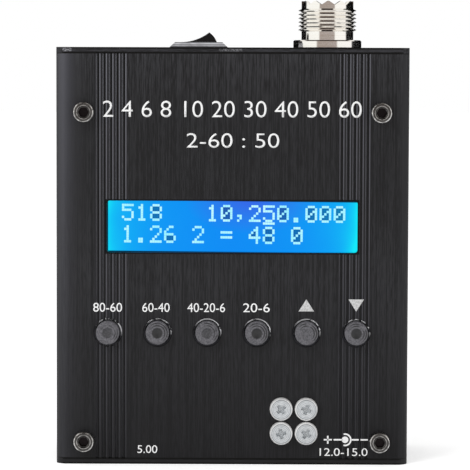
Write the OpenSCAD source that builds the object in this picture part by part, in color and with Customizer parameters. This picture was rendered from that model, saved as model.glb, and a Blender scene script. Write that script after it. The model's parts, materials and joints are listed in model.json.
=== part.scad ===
// Handheld antenna analyzer in a split extruded aluminium case: display, six push
// buttons, trimmer covers, coaxial socket and rocker switch, with its electronics inside.
// Millimetres. X to the right as seen from the front, Y to the back, Z up.
// The origin is the centre of the outer face of the bottom end plate.

/* [Case] */
// Width of the extrusion
body_w = 95.5; // [90:0.5:110]
// Length of the extrusion, between the end plates
body_l = 110; // [104:1:150]
// Depth of the closed case, front face to back face
body_d = 40; // [38:0.5:60]
// Wall of the extrusion
wall = 2.0; // [1.6:0.1:2.6]
// Outer corner radius of the extrusion and the end plates
corner_r = 3.0; // [2.6:0.1:3.6]
// Thickness of each end plate
plate_t = 1.5; // [1.2:0.1:2.5]

/* [Seam and rails] */
// Thickness of the lip on the front shell's side walls
lip_t = 0.9; // [0.7:0.05:1.1]
// Height of the lip past the seam
lip_h = 1.2; // [0.8:0.1:2]
// Clearance round the lip in the rear shell's rebate
lip_gap = 0.12; // [0.08:0.02:0.2]
// Distance from the seam to the nearer guide rail
rail_offset = 6.2; // [5.5:0.1:8]
// Width of the slot between two guide rails
rail_slot = 1.8; // [1.6:0.1:2.4]
// Thickness of one guide rail
rail_t = 1.0; // [0.8:0.1:1.4]
// How far a guide rail stands off the side wall
rail_h = 1.2; // [0.8:0.1:1.5]

/* [Grooves] */
// Grooves in each decorative band
groove_count = 5; // [3:1:6]
// Distance between neighbouring grooves
groove_pitch = 1.75; // [1.5:0.05:2]
// Width of a groove at the surface
groove_w = 0.95; // [0.6:0.05:1.2]
// Width of a groove at its floor
groove_floor_w = 0.55; // [0.3:0.05:0.6]
// Depth of a groove
groove_depth = 0.45; // [0.3:0.05:0.7]
// Distance from the side of the case to the outermost groove
groove_inset = 11.3; // [10:0.1:14]

/* [End plate screws] */
// Distance of a screw port from the sides of the case
port_inset = 2.9; // [2.8:0.05:3.1]
// Outer radius of a screw port
port_r = 2.0; // [1.9:0.05:2.1]
// Shank diameter of an end plate screw
end_screw_d = 2.4; // [2.2:0.1:2.6]
// Head diameter of an end plate screw
end_screw_head_d = 4.6; // [4.2:0.1:4.8]
// Head height of an end plate screw
end_screw_head_h = 1.1; // [0.9:0.1:1.2]
// Length of an end plate screw
end_screw_l = 9; // [7:0.5:12]

/* [Board screws] */
// Distance from the side of the case to a board screw
screw_inset = 7.65; // [7.4:0.05:9]
// Drop of the upper board screws below the extrusion's top end
screw_drop = 16; // [15.5:0.5:18]
// Rise of the lower board screws above the extrusion's lower end
screw_rise = 4.8; // [4.5:0.1:6]
// Nominal diameter of the board screws
m3_d = 3.0; // [2.5:0.1:3.2]
// Diameter of a socket head
cap_head_d = 5.5; // [5:0.1:6]
// Height of a socket head
cap_head_h = 3.0; // [2.4:0.1:3.2]
// Hex socket across flats
cap_socket_af = 2.5; // [2:0.1:3]
// Depth of the hex socket
cap_socket_depth = 1.6; // [1:0.1:2]
// Chamfer round the mouth of the hex socket
cap_socket_chamfer = 0.3; // [0.2:0.05:0.5]
// Outer diameter of a board spacer
spacer_d = 5.0; // [4.6:0.1:5.2]
// Length of a board spacer
spacer_l = 11; // [10.4:0.1:12]
// Nut across flats
nut_af = 5.5; // [5:0.1:6]
// Nut height
nut_h = 2.4; // [2:0.1:2.8]
// How far a board screw stands out of its nut
screw_stickout = 0.6; // [0.3:0.1:1.5]

/* [Display] */
// Width of the window in the front face
window_w = 67.8; // [60:0.1:70]
// Height of the window in the front face
window_h = 14.0; // [12:0.1:16]
// Corner radius of the window
window_r = 0.8; // [0.5:0.1:2]
// Drop of the window's centre below the extrusion's top end
window_drop = 46.9; // [44:0.1:50]
// Width of the display module's circuit board
lcd_board_w = 80; // [78:0.5:84]
// Height of the display module's circuit board
lcd_board_h = 36; // [32:0.5:36]
// Gap between the front wall and the display frame
lcd_front_gap = 0.3; // [0.2:0.05:0.5]
// Margin of the display frame's opening round the window
lcd_frame_margin = 0.6; // [0.3:0.1:1]
// Rim of the display frame round its opening
lcd_frame_rim = 3.4; // [2.5:0.1:4]
// Sheet thickness of the display frame
lcd_frame_t = 0.5; // [0.4:0.05:0.8]
// Depth of the display frame, front to back
lcd_frame_depth = 7.3; // [6.6:0.1:7.4]
// Thickness of the liquid crystal cell
lcd_glass_t = 2.2; // [1.8:0.1:2.6]
// Sideways clearance of the cell and the light panel in the frame
lcd_fit = 0.3; // [0.2:0.05:0.5]

/* [Buttons] */
// Number of push buttons in the row
button_count = 6; // [6]
// Distance between neighbouring buttons
button_pitch = 13.45; // [12:0.05:14]
// Rise of the button row above the extrusion's lower end
button_rise = 34.4; // [33:0.1:36]
// Diameter of a button cap
cap_d = 6.4; // [5.5:0.1:7]
// Clearance round a button cap in the front face
cap_gap = 0.3; // [0.25:0.05:0.5]
// Chamfer of the button holes
cap_hole_chamfer = 0.4; // [0.2:0.1:0.6]
// How far a cap stands out of the front face
cap_proud = 2.3; // [1.5:0.1:3]
// Length of a button cap
cap_l = 7; // [6:0.1:8]
// Rounding of a cap's front edge
cap_round = 0.5; // [0.3:0.1:0.8]
// Diameter of the dimple in a cap
dimple_d = 2.9; // [2:0.1:3.5]
// Depth of the dimple in a cap
dimple_depth = 0.5; // [0.3:0.1:0.8]
// Travel of a push button
button_travel = 0.3; // [0.2:0.05:0.5]
// Side of a tact switch body
tact_w = 6.0; // [5.5:0.1:6.5]
// Height of a tact switch body
tact_h = 3.5; // [3.2:0.1:4]
// Diameter of a tact switch plunger
plunger_d = 3.4; // [3:0.1:3.6]
// Running clearance round a plunger in its switch body
plunger_gap = 0.08; // [0.05:0.01:0.1]
// Depth of a plunger inside its switch body
plunger_depth = 1.8; // [1.4:0.1:2]
// Depth of a plunger inside its cap
plunger_grip = 5; // [4:0.1:5.2]

/* [Trimmer adjusters] */
// Distance of the trimmer group's centre from the right side of the case
trimmer_inset = 30.95; // [28:0.05:33]
// Rise of the trimmer group's centre above the extrusion's lower end
trimmer_rise = 10.4; // [10:0.1:13]
// Sideways distance between two trimmers
trimmer_pitch_x = 6.8; // [6.6:0.1:8]
// Upward distance between two trimmers
trimmer_pitch_z = 6.6; // [6.5:0.1:8]
// Side of a trimmer body
trimmer_w = 6.1; // [5.6:0.1:6.2]
// Height of a trimmer body
trimmer_h = 4.0; // [3.6:0.1:4.5]
// Diameter of a trimmer rotor
rotor_d = 4.2; // [3.6:0.1:4.6]
// Running clearance round a rotor
rotor_gap = 0.05; // [0.03:0.01:0.1]
// Depth of a rotor in its body
rotor_depth = 1.6; // [1:0.1:2]
// How far a rotor stands out of its body
rotor_proud = 0.4; // [0.2:0.1:0.6]
// Width of the screwdriver slot in a rotor
rotor_slot_w = 0.6; // [0.4:0.1:0.8]
// Head diameter of a cover screw
pan_d = 6.2; // [5.6:0.1:6.4]
// Head height of a cover screw
pan_h = 2.1; // [1.6:0.1:2.4]
// Height of the straight rim of a cover screw's head
pan_rim = 1.2; // [0.9:0.1:1.4]
// Length of the cross recess in a cover screw
pan_cross_l = 2.8; // [2.4:0.1:3.4]
// Length of a cover screw below its head
cover_screw_l = 5; // [4:0.5:6]

/* [Circuit board] */
// Thickness of the circuit boards
board_t = 1.6; // [1.2:0.1:2]
// Gap between the board and the side walls
board_side_gap = 2.5; // [2.2:0.1:2.6]
// Gap between the board and the extrusion's lower end
board_low_gap = 1.0; // [0.5:0.1:1.2]
// Gap between the board and the part of the rocker switch above it
board_top_gap = 0.6; // [0.5:0.1:1.5]
// Pitch of the display's pin header
pin_pitch = 2.54; // [2.54]
// Number of pins in the display's pin header
pin_count = 16; // [14:1:16]
// Side of a square pin
pin_w = 0.64; // [0.5:0.02:0.7]
// Clearance of a pin in its board
pin_gap = 0.15; // [0.1:0.05:0.2]
// How far a pin stands out of a board
pin_tail = 0.8; // [0.5:0.1:1]

/* [Coaxial socket] */
// Distance of the socket's axis from the right side of the case
coax_inset = 21.75; // [18:0.25:25]
// Diameter of the coupling thread
coax_thread_d = 15.9; // [15:0.1:16.5]
// Pitch of the coupling thread
coax_pitch = 1.06; // [0.9:0.02:1.3]
// Threads above the panel
coax_threads = 6; // [5:1:7]
// Diameter at the thread's root, neck and rim
coax_neck_d = 14.3; // [13.8:0.1:14.6]
// Diameter of the flange on the panel
coax_flange_d = 18.8; // [18:0.1:20]
// Thickness of the flange
coax_flange_t = 2.2; // [1.5:0.1:3]
// Length of the plain neck above the flange
coax_neck_l = 2.3; // [1.5:0.1:3]
// Length of the plain rim above the thread
coax_rim_l = 1.0; // [0.6:0.1:1.5]
// Height of the teeth on the rim
coax_tooth_h = 1.1; // [0.6:0.1:1.4]
// Teeth on the rim
coax_teeth = 12; // [8:1:16]
// Diameter of the mouth
coax_mouth_d = 12.2; // [11.6:0.1:12.6]
// Depth of the mouth, from the top of the rim to the insulator
coax_mouth_depth = 9.6; // [8:0.1:10.5]
// Bore of the centre contact
contact_bore_d = 4.0; // [3.8:0.1:4.2]
// Outer diameter of the centre contact
contact_d = 5.6; // [5.2:0.1:6]
// Distance of the contact's tip below the rim
contact_drop = 2.0; // [1:0.1:3]
// Width of the slots in the contact
contact_slot_w = 0.5; // [0.3:0.05:0.6]
// Length of the socket's thread below the top plate's underside
coax_tail_l = 5.0; // [4.6:0.1:7]
// Thickness of the lock washer
coax_washer_t = 0.6; // [0.4:0.1:0.8]
// Thickness of the ground tag
ground_tag_t = 0.5; // [0.3:0.1:0.8]
// Height of the panel nut
coax_nut_h = 2.8; // [2:0.1:3]
// Panel nut across flats
coax_nut_af = 19; // [18.5:0.5:22]

/* [Rocker switch] */
// Distance of the switch's centre from the left side of the case
switch_inset = 38.25; // [28:0.25:41]
// Length of the bezel
bezel_l = 15.9; // [15:0.1:16.5]
// Width of the bezel
bezel_w = 10.5; // [10:0.1:11]
// Height of the bezel
bezel_h = 1.55; // [1.2:0.05:2.2]
// Height of the straight foot at the bezel's ends
bezel_foot = 0.2; // [0.1:0.05:0.5]
// Length of the panel cut-out
cutout_l = 13.5; // [13.3:0.1:14]
// Width of the panel cut-out
cutout_w = 8.5; // [8.4:0.1:9]
// Clearance of the housing in the cut-out
cutout_gap = 0.15; // [0.1:0.05:0.3]
// Depth of the housing below the top of the end plate
switch_depth = 13.5; // [12:0.5:16]
// Radius of the rocker's ends about its pivot
rocker_r = 5.15; // [4.8:0.05:5.6]
// Width of the rocker
rocker_w = 6.6; // [6.2:0.1:6.7]
// Height of the rocker's hollow top above the pivot
rocker_top = 2.4; // [2.2:0.05:3]
// Radius of the rocker's hollow top
rocker_hollow_r = 13; // [10:0.1:18]
// Depth of the rocker below the pivot
rocker_low = 2.0; // [1.5:0.1:2.4]
// Tilt of the rocker to each side
rocker_tilt = 19; // [12:0.5:20]
// Clearance round the rocker in its housing
rocker_gap = 0.3; // [0.2:0.05:0.4]
// Diameter of the rocker's pivot pins
pivot_d = 2.0; // [1.6:0.1:2.2]
// Running clearance of the pivot pins
pivot_gap = 0.06; // [0.04:0.01:0.1]
// Length of a switch terminal
terminal_l = 7; // [6:0.5:8]

/* [Power socket] */
// Distance of the power socket's axis from the right side of the case
jack_inset = 16.75; // [15.5:0.25:19]
// Width of the power socket's housing
jack_w = 9; // [8.6:0.1:9.6]
// Length of the power socket's housing
jack_l = 14; // [13:0.5:15]
// Height of the power socket's housing off the board
jack_h = 11; // [10.6:0.1:11.5]
// Height of the power socket's axis off the board
jack_axis_h = 6.4; // [6:0.1:6.6]
// Bore of the power socket
jack_bore_d = 6.3; // [6:0.1:6.6]
// Depth of the power socket's bore
jack_bore_l = 9.6; // [9:0.1:10.5]
// Diameter of the power socket's pin
jack_pin_d = 2.1; // [1.9:0.1:2.5]
// Distance of the pin's tip inside the mouth
jack_pin_drop = 0.8; // [0.5:0.1:1.5]
// Clearance of the sockets in the bottom end plate
jack_gap = 0.25; // [0.15:0.05:0.4]
// Depth of the sockets' faces inside the bottom end plate's outer face
jack_recess = 0.3; // [0.2:0.1:0.6]

/* [USB socket] */
// Distance of the USB socket's centre from the left side of the case
usb_inset = 24.85; // [21:0.05:29]
// Width of the USB socket
usb_w = 12; // [11.5:0.1:12.5]
// Length of the USB socket
usb_l = 16.5; // [15:0.5:18]
// Height of the USB socket off the board
usb_h = 10.8; // [10.4:0.1:11.2]
// Width of the plug space in the USB socket
usb_plug_w = 8.5; // [8.4:0.05:8.7]
// Height of the plug space in the USB socket
usb_plug_h = 7.8; // [7.7:0.05:8]
// Depth of the plug space in the USB socket
usb_plug_l = 9.2; // [8.5:0.1:10]
// Width of the tongue
usb_tongue_w = 5.6; // [5.2:0.1:5.8]
// Height of the tongue
usb_tongue_h = 3.2; // [2.8:0.1:3.4]

/* [Parts on the back of the board] */
// Rise of the microcontroller above the extrusion's lower end
mcu_rise = 44.5; // [43:0.5:46]
// Length of the microcontroller
mcu_l = 35.6; // [34:0.2:37]
// Width of the microcontroller
mcu_w = 7.0; // [6.6:0.1:7.5]
// Thickness of a large chip
dip_t = 3.4; // [3:0.1:3.8]
// Rise of the row of small chips above the extrusion's lower end
chip_row_rise = 61.5; // [60:0.5:63]
// Length of a bridge chip
bridge_l = 9.6; // [9:0.1:10]
// Width of a bridge chip
bridge_w = 6.4; // [6:0.1:6.6]
// Distance between bridge chips
bridge_pitch = 14; // [12:0.5:14]
// Distance from the last bridge chip to the clock oscillator
bridge_to_oscillator = 13; // [12.5:0.5:14]
// Distance of the clock oscillator left of the coaxial socket's axis
oscillator_offset = 15; // [14:0.5:17]
// Length of the signal generator chip
generator_l = 10.2; // [9.8:0.1:10.4]
// Width of the signal generator chip
generator_w = 5.3; // [5:0.1:5.6]
// Side of the clock oscillator's can
oscillator_w = 12.8; // [12:0.1:13]
// Height of the clock oscillator's can
oscillator_h = 5.2; // [4:0.1:6]
// Rise of the heat sink's centre above the extrusion's lower end
sink_rise = 32.5; // [31:0.5:36]
// Width of the heat sink
sink_w = 18; // [16:0.5:20]
// Length of the heat sink
sink_l = 16; // [14:0.5:18]
// Thickness of the heat sink's base
sink_t = 1.6; // [1.2:0.1:2]
// Height of the heat sink's fins off the board
sink_fin_h = 11; // [8:0.5:13]
// Width of the voltage regulator
regulator_w = 10; // [9.5:0.1:10.4]
// Rise of the lower capacitors above the extrusion's lower end
elco_rise = 26.5; // [24:0.5:27]
// Distance between neighbouring capacitors
elco_pitch = 10; // [8:0.5:10]
// Distance from the board's left edge to the first capacitor
elco_inset = 11.25; // [8:0.25:13]
// Distance of the right-hand capacitors left of the power socket's axis
elco_offset = 19; // [17:0.5:20]
// Diameter of a capacitor
elco_d = 6.3; // [5:0.1:6.5]
// Height of a capacitor
elco_h = 11; // [9:0.5:13]
// Rise of the filter inductors above the extrusion's lower end
inductor_rise = 74.5; // [73:0.5:80]
// Diameter of a filter inductor
inductor_d = 5.6; // [5:0.1:6.4]
// Height of a filter inductor
inductor_h = 6; // [5:0.5:8]
// Distance between filter inductors
inductor_pitch = 8; // [7:0.5:9]

/* [Hidden] */

$fn = 64;
eps = 0.05;          // overshoot of a cutting tool
arc_steps = 12;      // straight steps in a quarter of a rounded outline

// Levels along Z
low_z = plate_t;                     // lower end of the extrusion
high_z = plate_t + body_l;           // upper end of the extrusion
top_z = high_z + plate_t;            // outer face of the top end plate
// Levels along Y
face_y = -body_d / 2;                // front face
inner_y = face_y + wall;             // inner side of the front wall
board_front_y = inner_y + spacer_l;  // front side of the main board
board_rear_y = board_front_y + board_t;
// Face features
screw_x = body_w / 2 - screw_inset;
screw_low_z = low_z + screw_rise;
screw_high_z = high_z - screw_drop;
window_z = high_z - window_drop;
button_z = low_z + button_rise;
trimmer_z = low_z + trimmer_rise;
port_x = body_w / 2 - port_inset;
port_y = body_d / 2 - port_inset;
trimmer_x = body_w / 2 - trimmer_inset;
coax_x = body_w / 2 - coax_inset;
jack_x = body_w / 2 - jack_inset;
switch_x = switch_inset - body_w / 2;
usb_x = usb_inset - body_w / 2;
// Boards
board_w = body_w - 2 * wall - 2 * board_side_gap;
board_low_z = low_z + board_low_gap;
board_high_z = top_z - switch_depth - board_top_gap;
lcd_front_y = inner_y + lcd_front_gap;
lcd_board_y = lcd_front_y + lcd_frame_depth;
lcd_frame_w = window_w + 2 * (lcd_frame_margin + lcd_frame_rim);
lcd_frame_h = window_h + 2 * (lcd_frame_margin + lcd_frame_rim);
lcd_inner_w = lcd_frame_w - 2 * (lcd_frame_t + lcd_fit);
lcd_inner_h = lcd_frame_h - 2 * (lcd_frame_t + lcd_fit);
header_z = window_z + lcd_board_h / 2 - pin_pitch;
header_x = -lcd_board_w / 2 + 3 * pin_pitch;
// Places on the back of the main board
mcu_offset = 2.5;                    // of the microcontroller left of the switch
mcu_x = switch_x - mcu_offset;
chip_row_z = low_z + chip_row_rise;
oscillator_x = coax_x - oscillator_offset;
bridge_x = oscillator_x - bridge_to_oscillator - 2 * bridge_pitch;   // leftmost bridge chip
generator_offset = 0.5;              // of the generator chip left of the coaxial socket
generator_x = coax_x - generator_offset;
generator_t = 1.9;                   // thickness of the signal generator chip
generator_pin_pitch = 0.65;
oscillator_r = 1.5;                  // corner radius of the oscillator's can
sink_z = low_z + sink_rise;
elco_z = low_z + elco_rise;
elco_left_x = elco_inset - board_w / 2;
elco_right_x = jack_x - elco_offset;
inductor_x = oscillator_x;           // leftmost of the four inductors
inductor_z = low_z + inductor_rise;
chip_standoff = 0.4;
chip_leg_reach = 1.2;
chip_leg_t = 0.25;
// Small clearances within a fastened joint
screw_play = 0.1;                    // radial play of a screw in a clear hole
thread_play = 0.05;                  // radial gap drawn for an engaged thread
// Sockets at the lower end
jack_face_z = jack_recess;
jack_y = board_rear_y + jack_axis_h;
jack_centre_y = board_rear_y + jack_h / 2;
jack_tab_t = 0.6;                    // thickness of a solder tab
jack_tab_w = 2.2;
leaf_h = 3.2;                        // height of the spring leaf off the board
leaf_w = 2.0;
leaf_t = 0.4;
leaf_space = 1.6;                    // room for the leaf to bend
usb_centre_y = board_rear_y + usb_h / 2;
usb_pin_pitch = 2.5;
usb_pin_inset = 1.3;                 // of the rear pins from the socket's inner end
// Coaxial socket, upwards from the panel
coax_neck_z = top_z + coax_flange_t;
coax_thread_z = coax_neck_z + coax_neck_l;
coax_rim_z = coax_thread_z + coax_threads * coax_pitch;
coax_tooth_z = coax_rim_z + coax_rim_l;
coax_end_z = coax_tooth_z + coax_tooth_h;
coax_seat_z = coax_end_z - coax_mouth_depth;   // front face of the insulator
coax_tail_z = high_z - coax_tail_l;
insulator_flange_t = 2.0;
insulator_back_z = coax_tail_z - 2.0;
insulator_r = coax_mouth_d / 2 - 1.2;
contact_tip_z = coax_end_z - contact_drop;
contact_bore_l = 12.2;
solder_cup_l = 3.0;
solder_cup_r = 1.6;
solder_cup_bore_r = 0.9;
solder_cup_bore_l = 2.2;
contact_back_z = insulator_back_z - solder_cup_l;
washer_z = high_z - coax_washer_t;
tag_z = washer_z - ground_tag_t;
tag_r = coax_nut_af / 2 + 0.5;
tag_tail_w = 3.0;
tag_tail_l = 8.0;
tag_tail_x = coax_x - tag_r - 2.0;
// Leads
lead_d = 1.3;
lead_steps = 14;
lead_sides = 8;
lead_drop = 9.0;                     // how far below its start a lead lands on the board
// Rocker switch
pivot_z = top_z;
switch_base_z = top_z - switch_depth;
terminal_t = 0.8;
terminal_w = 4.0;
terminal_spacing = 7.0;
terminal_root = 3.0;                 // length of a terminal inside the housing
housing_l = cutout_l - 2 * cutout_gap;
housing_w = cutout_w - 2 * cutout_gap;
pivot_length = 0.6;                  // length of the pivot hole past the cavity wall

black = [0.07, 0.07, 0.075];
anodised = [0.16, 0.16, 0.17];
dark_plastic = [0.25, 0.25, 0.26];
steel = [0.62, 0.62, 0.64];
zinc = [0.75, 0.76, 0.78];
nickel = [0.8, 0.79, 0.75];
brass = [0.72, 0.6, 0.3];
laminate = [0.07, 0.3, 0.16];
light_grey = [0.7, 0.7, 0.7];
white_resin = [0.9, 0.9, 0.87];

// Points of an arc about (x, y), from angle a to angle b
function arc(x, y, r, a, b, steps = arc_steps) =
    [for (i = [0:steps]) [x + r * cos(a + (b - a) * i / steps), y + r * sin(a + (b - a) * i / steps)]];

// Outline of a rounded rectangle about the origin
function rounded(w, h, r) = concat(
    arc(w / 2 - r, h / 2 - r, r, 0, 90), arc(r - w / 2, h / 2 - r, r, 90, 180),
    arc(r - w / 2, r - h / 2, r, 180, 270), arc(w / 2 - r, r - h / 2, r, 270, 360));

// Point at t on a cubic curve with four control points
function bezier(p, t) = pow(1 - t, 3) * p[0] + 3 * t * pow(1 - t, 2) * p[1]
    + 3 * t * t * (1 - t) * p[2] + pow(t, 3) * p[3];
function slope(p, t) = pow(1 - t, 2) * (p[1] - p[0]) + 2 * t * (1 - t) * (p[2] - p[1])
    + t * t * (p[3] - p[2]);

// Round bar along Y, from y = a to y = b
module bar_y(x, z, a, b, r) {
    translate([x, a, z]) rotate([-90, 0, 0]) cylinder(h = b - a, r = r);
}

// Outline in the X-Z plane made solid from y = a to y = b
module slab_y(a, b) {
    translate([0, b, 0]) rotate([90, 0, 0]) linear_extrude(b - a) children();
}

// Box centred in X and Z, from y = a to y = b
module block_y(x, z, w, h, a, b) {
    translate([x - w / 2, a, z - h / 2]) cube([w, b - a, h]);
}

// Box centred in X and Y, from z = a to z = b
module block_z(x, y, w, d, a, b) {
    translate([x - w / 2, y - d / 2, a]) cube([w, d, b - a]);
}

// One copy at each board screw
module at_board_screws() {
    for (x = [-screw_x, screw_x])
        for (z = [screw_low_z, screw_high_z])
            translate([x, 0, z]) children();
}

// One copy at each end plate screw
module at_ports() {
    for (x = [-port_x, port_x])
        for (y = [-port_y, port_y])
            translate([x, y, 0]) children();
}

// Place of one trimmer, counted in rows from the lower left
function trimmer_pos(i) = [trimmer_x + (i % 2 - 0.5) * trimmer_pitch_x,
    trimmer_z + (floor(i / 2) - 0.5) * trimmer_pitch_z];
function button_pos(i) = (i - (button_count - 1) / 2) * button_pitch;

// Cross recess, cut down along -Z from the origin
module cross_recess(size, depth) {
    arm = size / 3;
    for (a = [0, 90])
        rotate([0, 0, a]) translate([-size / 2, -arm / 2, -depth]) cube([size, arm, depth + eps]);
    translate([0, 0, -depth]) cylinder(h = depth + eps, r1 = arm / 2, r2 = arm);
}

// ---------------------------------------------------------------- case

// Half of the extrusion on the side of Y given by side, with its ports, rails and grooves
module half_shell(side) {
    difference() {
        union() {
            difference() {
                linear_extrude(body_l) polygon(rounded(body_w, body_d, corner_r));
                translate([0, 0, -eps]) linear_extrude(body_l + 2 * eps)
                    polygon(rounded(body_w - 2 * wall, body_d - 2 * wall, corner_r - wall));
            }
            for (x = [-port_x, port_x])
                translate([x, side * port_y, 0]) cylinder(h = body_l, r = port_r);
            for (x = [-1, 1])
                for (y = [rail_offset, rail_offset + rail_t + rail_slot])
                    guide_rail(x, side * y, side);
        }
        translate([-body_w, side > 0 ? -body_d : 0, -eps])
            cube([2 * body_w, body_d, body_l + 2 * eps]);
        for (x = [-port_x, port_x])
            translate([x, side * port_y, -eps])
                cylinder(h = body_l + 2 * eps, r = end_screw_d / 2 + thread_play);
        for (mirrored = [0, 1])
            mirror([mirrored, 0, 0])
                for (i = [0:groove_count - 1])
                    translate([body_w / 2 - groove_inset - i * groove_pitch, side * body_d / 2, -eps])
                        groove(side);
    }
}

module guide_rail(x_side, y, side) {
    x = x_side * (body_w / 2 - wall - rail_h / 2 + eps);
    translate([x - rail_h / 2 - eps, side > 0 ? y : y - rail_t, 0])
        cube([rail_h + 2 * eps, rail_t, body_l]);
}

module groove(side) {
    linear_extrude(body_l + 2 * eps)
        polygon([[-groove_w / 2, side * eps], [groove_w / 2, side * eps],
            [groove_floor_w / 2, -side * groove_depth], [-groove_floor_w / 2, -side * groove_depth]]);
}

module front_shell() {
    color(anodised) difference() {
        translate([0, 0, low_z]) union() {
            half_shell(-1);
            for (x = [-1, 1])
                translate([x * (body_w / 2 - wall + lip_t / 2) - lip_t / 2, -lip_h, 0])
                    cube([lip_t, 2 * lip_h, body_l]);
        }
        slab_y(face_y - eps, inner_y + eps) translate([0, window_z])
            polygon(rounded(window_w, window_h, window_r));
        for (i = [0:button_count - 1])
            button_hole(button_pos(i));
        at_board_screws() bar_y(0, 0, face_y - eps, inner_y + eps, m3_d / 2 + screw_play);
        for (i = [0:3])
            bar_y(trimmer_pos(i)[0], trimmer_pos(i)[1], face_y - eps, inner_y + eps, m3_d / 2 + thread_play);
    }
}

module button_hole(x) {
    r = cap_d / 2 + cap_gap;
    bar_y(x, button_z, face_y - eps, inner_y + eps, r);
    translate([x, face_y - eps, button_z]) rotate([-90, 0, 0])
        cylinder(h = cap_hole_chamfer + eps, r1 = r + cap_hole_chamfer + eps, r2 = r);
}

module rear_shell() {
    color(anodised) difference() {
        translate([0, 0, low_z]) half_shell(1);
        for (x = [-1, 1])
            translate([x * (body_w / 2 - wall + (lip_t + lip_gap - eps) / 2) - (lip_t + lip_gap + eps) / 2,
                -eps, low_z - eps])
                cube([lip_t + lip_gap + eps, lip_h + lip_gap + eps, body_l + 2 * eps]);
    }
}

// Countersunk hole for an end plate screw, opening upwards at z = plate_t
module countersink() {
    shank_r = end_screw_d / 2 + screw_play;
    translate([0, 0, -eps]) cylinder(h = plate_t + 2 * eps, r = shank_r);
    translate([0, 0, plate_t - end_screw_head_h])
        cylinder(h = end_screw_head_h + eps, r1 = shank_r, r2 = end_screw_head_d / 2 + screw_play);
}

module end_plate() {
    difference() {
        linear_extrude(plate_t) polygon(rounded(body_w, body_d, corner_r));
        at_ports() countersink();
    }
}

module top_end_plate() {
    color(anodised) difference() {
        translate([0, 0, high_z]) end_plate();
        translate([coax_x, 0, high_z - eps])
            cylinder(h = plate_t + 2 * eps, r = coax_thread_d / 2 + screw_play);
        block_z(switch_x, 0, cutout_l, cutout_w, high_z - eps, top_z + eps);
    }
}

module bottom_end_plate() {
    color(anodised) difference() {
        translate([0, 0, plate_t]) rotate([180, 0, 0]) end_plate();
        block_z(jack_x, jack_centre_y, jack_w + 2 * jack_gap, jack_h + 2 * jack_gap, -eps, plate_t + eps);
        block_z(usb_x, usb_centre_y, usb_w + 2 * jack_gap, usb_h + 2 * jack_gap, -eps, plate_t + eps);
    }
}

// Countersunk screw with its head's top at the origin, pointing down
module end_screw() {
    difference() {
        union() {
            translate([0, 0, -end_screw_l]) cylinder(h = end_screw_l, r = end_screw_d / 2);
            translate([0, 0, -end_screw_head_h])
                cylinder(h = end_screw_head_h, r1 = end_screw_d / 2, r2 = end_screw_head_d / 2);
        }
        cross_recess(end_screw_head_d * 0.5, end_screw_head_h * 0.6);
    }
}

module top_plate_screws() {
    color(steel) translate([0, 0, top_z]) at_ports() end_screw();
}

module bottom_plate_screws() {
    color(steel) rotate([180, 0, 0]) at_ports() end_screw();
}

// ---------------------------------------------------------------- board fixings

module board_screws() {
    tip_y = board_rear_y + nut_h + screw_stickout;
    color(steel) at_board_screws() difference() {
        union() {
            bar_y(0, 0, face_y - eps, tip_y, m3_d / 2);
            socket_head();
        }
        translate([0, face_y - cap_head_h, 0]) rotate([-90, 0, 0]) hex_socket();
    }
}

// Hex socket with a chamfered mouth, cut along Z from its mouth at the origin
module hex_socket() {
    point_r = cap_socket_af / 2 / cos(30);
    mouth_r = point_r + cap_socket_chamfer;
    translate([0, 0, -eps]) cylinder(h = cap_socket_depth + eps, r = point_r, $fn = 6);
    translate([0, 0, -eps]) cylinder(h = cap_socket_chamfer + eps, r1 = mouth_r + eps, r2 = point_r);
}

// Cylindrical head with a rounded front edge, standing on the front face
module socket_head() {
    r = cap_head_d / 2;
    round_r = 0.4;
    translate([0, face_y, 0]) rotate([90, 0, 0]) rotate_extrude()
        polygon(concat([[0, 0], [r, 0]], arc(r - round_r, cap_head_h - round_r, round_r, 0, 90, 6),
            [[0, cap_head_h]]));
}

module board_spacers() {
    color(steel) at_board_screws() difference() {
        bar_y(0, 0, inner_y, board_front_y, spacer_d / 2);
        bar_y(0, 0, inner_y - eps, board_front_y + eps, m3_d / 2 + screw_play);
    }
}

module board_nuts() {
    color(zinc) at_board_screws() difference() {
        translate([0, board_rear_y, 0]) rotate([-90, 0, 0])
            cylinder(h = nut_h, d = nut_af / cos(30), $fn = 6);
        bar_y(0, 0, board_rear_y - eps, board_rear_y + nut_h + eps, m3_d / 2 + thread_play);
    }
}

// Pan head cover screw on the front face, its cross turned by angle
module cover_screw(angle) {
    r = pan_d / 2;
    edge_r = pan_h - pan_rim;
    rotate([90, 0, 0]) rotate([0, 0, angle]) difference() {
        union() {
            rotate_extrude() polygon(concat([[0, 0], [r, 0], [r, pan_rim]],
                [for (a = [15:15:75]) [r - edge_r + edge_r * cos(a), pan_rim + edge_r * sin(a)]],
                [[r - edge_r, pan_h], [0, pan_h]]));
            translate([0, 0, -cover_screw_l]) cylinder(h = cover_screw_l + eps, r = m3_d / 2);
        }
        translate([0, 0, pan_h]) cross_recess(pan_cross_l, pan_h * 0.62);
    }
}

module trimmer_cover_screws() {
    turns = [12, 58, 38, 71];
    color(zinc) for (i = [0:3])
        translate([trimmer_pos(i)[0], face_y, trimmer_pos(i)[1]]) cover_screw(turns[i]);
}

// ---------------------------------------------------------------- boards and display

// Square holes for the display's pin header, through y = a to y = b
module header_holes(a, b) {
    for (i = [0:pin_count - 1])
        block_y(header_x + i * pin_pitch, header_z, pin_w + 2 * pin_gap, pin_w + 2 * pin_gap, a, b);
}

module main_board() {
    color(laminate) difference() {
        translate([-board_w / 2, board_front_y, board_low_z])
            cube([board_w, board_t, board_high_z - board_low_z]);
        at_board_screws() bar_y(0, 0, board_front_y - eps, board_rear_y + eps, m3_d / 2 + screw_play);
        header_holes(board_front_y - eps, board_rear_y + eps);
        jack_tabs(pin_gap);
        usb_pins(pin_gap);
    }
}

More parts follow.
